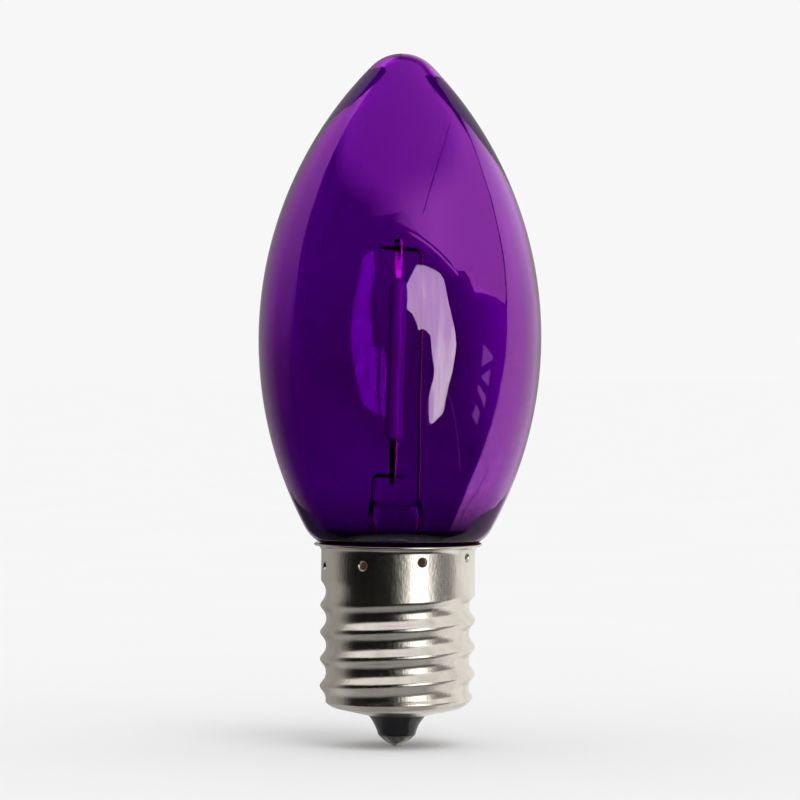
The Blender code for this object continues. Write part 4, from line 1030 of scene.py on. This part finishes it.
KEY_SHADES = [
    (0.0, (0.64, 0.45, 0.64)), (0.35, (0.72, 0.53, 0.69)), (0.7, (0.98, 0.9, 0.87)),
    (0.94, (0.66, 0.5, 0.61)),
]
OVERHEAD_SHADES = [
    (0.0, BLACK), (0.09, (0.04, 0.0, 0.05)), (0.29, (0.27, 0.03, 0.32)), (0.51, (0.61, 0.12, 0.66)),
    (0.72, (0.83, 0.17, 0.9)), (0.94, (0.75, 0.14, 0.8)),
]
LEFT_SHADES = [
    (0.0, (0.03, 0.01, 0.03)), (0.25, (0.14, 0.03, 0.15)), (0.37, (0.28, 0.05, 0.31)),
    (0.5, (0.35, 0.08, 0.36)), (0.76, (0.56, 0.17, 0.56)), (1.0, (0.85, 0.22, 0.9)),
]
SIDE_SHADES = [
    (0.0, BLACK), (0.15, (0.18, 0.13, 0.17)), (0.4, (0.4, 0.19, 0.4)), (0.7, (0.73, 0.21, 0.77)),
    (1.0, (0.86, 0.235, 0.94)),
]
CROWN_SHADES = [(0.0, (0.65, 0.05, 0.95)), (1.0, (0.8, 0.1, 1.0))]
GLOW_SHADES = [(0.0, BLACK), (1.0, (0.42, 0.0, 1.0))]
BACK_SHADES = [(0.0, BLACK), (1.0, (0.36, 0.31, 0.34))]
OVERHEAD_LINE = (AXIS_X, -0.32, 0.5)


def widen(edge, start, end, count):
    """Directions between two azimuths, following an edge's elevations."""
    return [(float(spot), float(np.interp(spot, *zip(*edge)))) for spot in np.linspace(start, end, count)]


def moved(edge, right, up):
    """An edge moved over the studio by some degrees."""
    return [(azimuth + right, elevation + up) for azimuth, elevation in edge]


def band(azimuths, low, high):
    """Level edges at two elevations."""
    return [(azimuth, low) for azimuth in azimuths], [(azimuth, high) for azimuth in azimuths]


def panel(elevations, start, end):
    """Upright edges at two azimuths."""
    return [(start, elevation) for elevation in elevations], [(end, elevation) for elevation in elevations]


def round_to(edge, azimuth):
    """An edge and an upright one of the same elevations at an azimuth."""
    return edge, [(azimuth, elevation) for _, elevation in edge]


def overhead():
    """The overhead panel's edge and the top that it rises to."""
    edge = widen(OVERHEAD_EDGE, -110.0, 122.0, 120)
    return edge, [(azimuth, OVERHEAD_TOP) for azimuth, _ in edge]


def glass_cards():
    """Cards that the glass alone mirrors: name, two edges and distance, then what card_material takes."""
    low_edge = moved(widen(GLINT_EDGE, -10.0, 14.0, 16), 0.0, GLINT_WIDTH)
    glint_edge = widen(GLINT_EDGE, 4.0, 50.0, 30)
    upper_side = [place for place in SIDE_EDGE if place[1] > UPPER_SIDE_START]
    side_azimuths, side_elevations = zip(*reversed(SIDE_EDGE))
    glow_rise = np.linspace(-45.0, 7.0, 14)
    glow_edge = list(zip(np.interp(glow_rise, side_elevations, side_azimuths), glow_rise))
    glow_left = [(45.0, elevation) for elevation in np.linspace(-45.0, 19.0, 14)]
    return [
        ("cable", CABLE_SIDES, 0.51, BLACK, 0.0),
        ("cable_low", (CABLE_LOW_SIDE, moved(CABLE_LOW_SIDE, CABLE_WIDTH, 0.0)), 0.51, BLACK, 0.0),
        ("corner_upper_right", DARK_UPPER_RIGHT, 0.576, BLACK, 0.0),
        ("corner_upper_left", DARK_UPPER_LEFT, 0.576, BLACK, 0.0),
        ("corner_lower_right", DARK_LOWER_RIGHT, 0.576, BLACK, 0.0),
        ("corner_lower_left", DARK_LOWER_LEFT, 0.576, BLACK, 0.0),
        ("grey_upper_right", GREY_UPPER_RIGHT, 0.503, UPPER_GREY, 1.0),
        ("grey_upper_left", GREY_UPPER_LEFT, 0.503, UPPER_GREY, 1.0),
        ("grey_lower_right", GREY_LOWER_RIGHT, 0.503, LOWER_GREY, 1.0),
        ("grey_lower_left", GREY_LOWER_LEFT, 0.503, LOWER_GREY, 0.15),
        ("streak", STREAK_SIDES, 0.51, (1.0, 0.3, 1.0), 1.1),
        ("arc_glint", (moved(glint_edge, 0.0, -GLINT_WIDTH), glint_edge), 0.515, OVERHEAD_SHADES, 5.6,
         OVERHEAD_LINE, [(AXIS_X, 0.03, 0.1)]),
        ("overhead_glass", overhead(), 0.58, OVERHEAD_SHADES, 4.85, OVERHEAD_LINE,
         [(DOWN, -0.5, -0.4), ((0.6, 0.0, 0.8), 0.1, 0.22), (FRONT, -1.0, 0.4)]),
        ("overhead_low_glass", (low_edge, widen(OVERHEAD_EDGE, -10.0, 14.0, 16)), 0.584, OVERHEAD_SHADES, 3.6,
         OVERHEAD_LINE, [(AXIS_X, -0.08, 0.02)]),
        ("crown_glass", band(ROUND_AZIMUTHS, 40.0, OVERHEAD_TOP), 0.588, CROWN_SHADES, 2.4,
         (AXIS_X, -0.3, 0.3), [(AXIS_Z, 0.4, 0.5), (FRONT, -0.32, -0.16)]),
        ("side_glass", round_to(SIDE_EDGE, 180.0), 0.592, SIDE_SHADES, 3.85, (FRONT, -0.58, -0.03),
         [((0.0, -0.35, 1.0), -0.4, -0.28), (DOWN, -0.46, -0.34)]),
        ("left_glass", round_to(LEFT_EDGE, -180.0), 0.592, LEFT_SHADES, 2.0, (AXIS_Z, -0.11, 0.4),
         [((0.0, 1.0, 0.35), 0.044, 0.174), (FRONT, -0.56, -0.3), (LEFT, 0.0, 0.14)]),
        ("side_upper_glass", round_to(upper_side, 180.0), 0.596, (0.8, 0.42, 0.9), 0.5, None,
         [(AXIS_Z, 0.08, 0.22), (AXIS_Y, 0.1, 0.28), (FRONT, -0.54, -0.42), (DOWN, -0.4, -0.28)]),
        ("back_glass", band(np.linspace(110.0, 250.0, 24), -60.0, 70.0), 0.6, BACK_SHADES, 1.0,
         (AXIS_Y, 0.3, 0.5)),
        ("glow_glass", (glow_left, glow_edge), 0.604, GLOW_SHADES, 2.2, (AXIS_Y, -0.42, -0.04),
         [(AXIS_Z, -0.26, -0.04)]),
    ]


def cap_cards():
    """Cards that the cap alone mirrors, with the same entries."""
    pale = (1.0, 0.99, 0.97)
    return [
        ("softbox_cap", panel(np.linspace(-24.0, 21.0, 8), -6.0, 68.0), 0.505, (1.0, 0.99, 0.96), 3.2, None,
         [(AXIS_X, 0.0, 0.35), (LEFT, -0.43, -0.29)]),
        ("overhead_cap", overhead(), 0.53, pale, 0.95),
        ("dim_cap", band(np.linspace(52.0, 98.0, 12), -35.0, 12.0), 0.55, (1.0, 0.98, 0.95), 0.22),
        ("side_cap", round_to(SIDE_EDGE, 180.0), 0.57, pale, 0.95),
        ("left_cap", panel(np.linspace(-60.0, 60.0, 13), -74.0, -180.0), 0.57, (1.0, 0.97, 0.95), 0.36, None,
         [(AXIS_Y, -0.11, 0.2)]),
        ("fill_cap", band(ROUND_AZIMUTHS, -80.0, 60.0), 0.573, (1.0, 0.95, 0.88), 0.008),
    ]


def card_material(name, shades, strength, line=None, fades=(), inside=1.0, mottle=None):
    """A card that only mirror reflections see, and that adds its light to what is behind it.

    A black card hides what is behind it. Shades are (position, colour) stops along a line, or one colour
    without a line. Each fade is a line that the card fades in along. A line is (direction, start, end).
    Inside is how much brighter the card is to a mirror behind glass.
    """
    material = bpy.data.materials.new(name)
    material.use_nodes = True
    material.cycles.emission_sampling = "NONE"
    tree = material.node_tree
    tree.nodes.remove(tree.nodes["Principled BSDF"])
    path = add_node(tree, "LightPath").outputs
    colour = (*shades, 1.0) if line is None else None
    if line:
        place = along_line(tree, *line)
        if mottle:
            uneven = spread(tree, noise(tree, coordinates(tree, mottle), 1.0), -MOTTLE_SHARE, MOTTLE_SHARE)
            place = math_node(tree, "ADD", place, uneven)
        colour = ramp(tree, place, shades)
    level = strength
    for fade in fades:
        eased = map_range(tree, along_line(tree, *fade), 0.0, 1.0)
        eased.interpolation_type = "SMOOTHSTEP"
        level = math_node(tree, "MULTIPLY", level, eased.outputs["Result"])
    if inside != 1.0:
        behind = map_range(tree, path["Transmission Depth"], *GLASS_PASSES, 1.0, inside).outputs["Result"]
        level = math_node(tree, "MULTIPLY", level, behind)
    glow = add_node(tree, "Emission", {"Color": colour, "Strength": level}).outputs["Emission"]
    clear = add_node(tree, "BsdfTransparent").outputs["BSDF"]
    if strength:
        glow = add_node(tree, "AddShader", {0: clear, 1: glow}).outputs["Shader"]
    mirrored = math_node(tree, "GREATER_THAN", path["Glossy Depth"], MIRROR_DEPTH)
    show_mix(tree, mirrored, clear, glow)
    return material


def toward(azimuth, elevation, distance=1.0):
    """A distance in a direction."""
    a = math.radians(azimuth)
    e = math.radians(elevation)
    return Vector((math.sin(a) * math.cos(e), -math.cos(a) * math.cos(e), math.sin(e))) * distance


def stage_mesh(name, vertices, faces, material):
    """A mesh of the studio, which isn't part of the bulb."""
    mesh = bpy.data.meshes.new(name)
    mesh.from_pydata([tuple(vertex) for vertex in vertices], [], faces)
    mesh.materials.append(material)
    item = bpy.data.objects.new(name, mesh)
    bpy.context.scene.collection.objects.link(item)
    return item


def card(name, directions, faces, distance, material, group=None):
    """A card at a distance round the studio's centre. Only the pieces of its group mirror it."""
    vertices = [STUDIO_CENTRE + toward(*direction, distance) for direction in directions]
    item = stage_mesh(name, vertices, faces, material)
    item.visible_camera = False
    item.visible_diffuse = False
    item.visible_shadow = False
    item.visible_volume_scatter = False
    if group:
        item.light_linking.receiver_collection = group


def strip_card(name, edges, distance, material, group=None, steps=CARD_STEPS):
    """A curved card between two edges, each a list of directions of the same length."""
    directions = []
    for (a0, e0), (a1, e1) in zip(*edges):
        shares = [step / steps for step in range(steps + 1)]
        directions += [(a0 + (a1 - a0) * share, e0 + (e1 - e0) * share) for share in shares]
    row = steps + 1
    corners = [i * row + step for i in range(len(edges[0]) - 1) for step in range(steps)]
    card(name, directions, [(a, a + row, a + row + 1, a + 1) for a in corners], distance, material, group)


def group_of(name, pieces):
    """A collection of pieces that a light or a card is linked to."""
    group = bpy.data.collections.new(name)
    for piece in pieces:
        group.objects.link(piece)
    return group


def build_cards(glass, cap):
    """Softbox, panels and dark flags that the glass and the metal mirror."""
    on_glass = group_of("on_glass", glass)
    flag = band(ROUND_AZIMUTHS, FLAG_BOTTOM, OVERHEAD_TOP)
    strip_card("flag", flag, FLAG_DISTANCE, card_material("flag", BLACK, 0.0), steps=FLAG_STEPS)
    key = card_material("softbox_glass", KEY_SHADES, KEY_STRENGTH, KEY_LINE, (), KEY_INSIDE, KEY_MOTTLE)
    bar = card_material("bar_light", BAR_COLOUR, BAR_STRENGTH)
    for name, outline in {"softbox_glass": KEY_OUTLINE, **WINDOW_BARS}.items():
        faces = [tuple(range(len(outline)))]
        card(name, outline, faces, KEY_DISTANCE, bar if name in WINDOW_BARS else key, on_glass)
    for cards, group in ((glass_cards(), on_glass), (cap_cards(), group_of("on_cap", cap))):
        for name, edges, distance, *look in cards:
            strip_card(name, edges, distance, card_material(name, *look), group)


# Floor, room, lights and camera

MIRRORED_FLOOR = 0.02
MIRRORED_FLOOR_CORE = 0.012
MIRRORED_SHARE = 0.45
INNER_LIGHT = {"energy": 1.83, "spread": 24.0, "azimuth": 48.0, "elevation": 6.0, "colour": (0.58, 0.3, 1.0)}
SOFT_LIGHT = {"energy": 0.7, "spread": 40.0, "azimuth": 35.0, "elevation": 51.43}
CLEAR_PIECES = ("bulb_glass", "glass_envelope", "stem_press", "stem_glass", "exhaust_tube")


def build_floor():
    """Plain pale floor under the contact's tip. Mirror reflections see it only close to the cap, dimmed."""
    material = surface("studio_floor", *FLOOR_FINISH)
    tree = material.node_tree
    place = add_node(tree, "TexCoord").outputs["Object"]
    reach = add_node(tree, "VectorMath", {0: place}, "LENGTH").outputs["Value"]
    far = map_range(tree, reach, MIRRORED_FLOOR_CORE, MIRRORED_FLOOR, 1.0 - MIRRORED_SHARE).outputs["Result"]
    path = add_node(tree, "LightPath").outputs
    mirrored = math_node(tree, "GREATER_THAN", path["Glossy Depth"], MIRROR_DEPTH)
    clear = add_node(tree, "BsdfTransparent").outputs["BSDF"]
    matt = tree.nodes["Principled BSDF"].outputs["BSDF"]
    show_mix(tree, math_node(tree, "MULTIPLY", far, mirrored), matt, clear)
    vertices = [(FLOOR_RADIUS * math.cos(a), FLOOR_RADIUS * math.sin(a), 0.0) for a in columns_round(96)]
    stage_mesh("studio_floor", vertices, [tuple(range(len(vertices)))], material)


def build_world():
    """Pale room: one even light for what scatters it, and the backdrop for what sees or mirrors it."""
    world = bpy.data.worlds.new("studio")
    bpy.context.scene.world = world
    world.use_nodes = True
    world.cycles.sampling_method = "NONE"
    tree = world.node_tree
    light = tree.nodes["Background"]
    light.inputs["Color"].default_value = (1.0, 1.0, 1.0, 1.0)
    light.inputs["Strength"].default_value = ROOM_LIGHT
    backdrop = add_node(tree, "Background", {"Color": (*PALE, 1.0)})
    path = add_node(tree, "LightPath").outputs
    seen = math_node(tree, "MAXIMUM", path["Is Camera Ray"], path["Is Glossy Ray"])
    seen = math_node(tree, "MAXIMUM", seen, path["Is Transmission Ray"])
    show_mix(tree, seen, light.outputs["Background"], backdrop.outputs["Background"], "World Output")


def build_light(name, lit, blockers, energy, spread, azimuth, elevation, colour=(1.0, 1.0, 1.0)):
    """Soft distant light from a direction, which falls on some pieces and is shaded by some."""
    data = bpy.data.lights.new(name, "SUN")
    data.energy = energy
    data.color = colour
    data.angle = math.radians(spread)
    lamp = bpy.data.objects.new(name, data)
    bpy.context.scene.collection.objects.link(lamp)
    lamp.rotation_euler = toward(azimuth, elevation).to_track_quat("Z", "Y").to_euler()
    lamp.visible_transmission = False
    lamp.visible_camera = False
    lamp.light_linking.receiver_collection = group_of(name + "_lit", lit)
    lamp.light_linking.blocker_collection = group_of(name + "_blockers", blockers)
    return lamp


def build_lights(inner_pieces):
    """One light for the filament and its leads, through the glass, and one for the rest."""
    meshes = [item for item in bpy.context.scene.objects if item.type == "MESH"]
    build_light("inner_light", inner_pieces, inner_pieces, **INNER_LIGHT)
    outer_pieces = [item for item in meshes if item not in inner_pieces]
    solid_pieces = [item for item in meshes if item.name not in CLEAR_PIECES]
    lamp = build_light("soft_sun", outer_pieces, solid_pieces, **SOFT_LIGHT)
    lamp.visible_glossy = False


def build_camera():
    """Camera at the photograph's height and scale, with its small roll."""
    data = bpy.data.cameras.new("camera")
    data.lens = CAMERA_LENS
    data.sensor_width = CAMERA_SENSOR
    data.clip_start = CAMERA_NEAR
    data.clip_end = CAMERA_FAR
    camera = bpy.data.objects.new("camera", data)
    bpy.context.scene.collection.objects.link(camera)
    place = Vector((CAMERA_AIM[0], -CAMERA_DISTANCE, CAMERA_HEIGHT))
    aim = (place - Vector(CAMERA_AIM)).to_track_quat("Z", "Y").to_matrix().to_4x4()
    camera.matrix_world = Matrix.Translation(place) @ aim @ Matrix.Rotation(math.radians(CAMERA_ROLL), 4, "Z")
    bpy.context.scene.camera = camera


glass_pieces = [build_glass()]
cap_pieces = [build_shell(), build_insulator(), build_solder(), build_cement()]
build_stem()
filament_pieces = [*build_leads(), build_coat(), *build_tabs()]
finish_kept_nodes()
build_cards(glass_pieces, cap_pieces)
build_floor()
build_world()
build_lights(filament_pieces)
build_camera()

bpy.context.scene.view_settings.view_transform = "Standard"
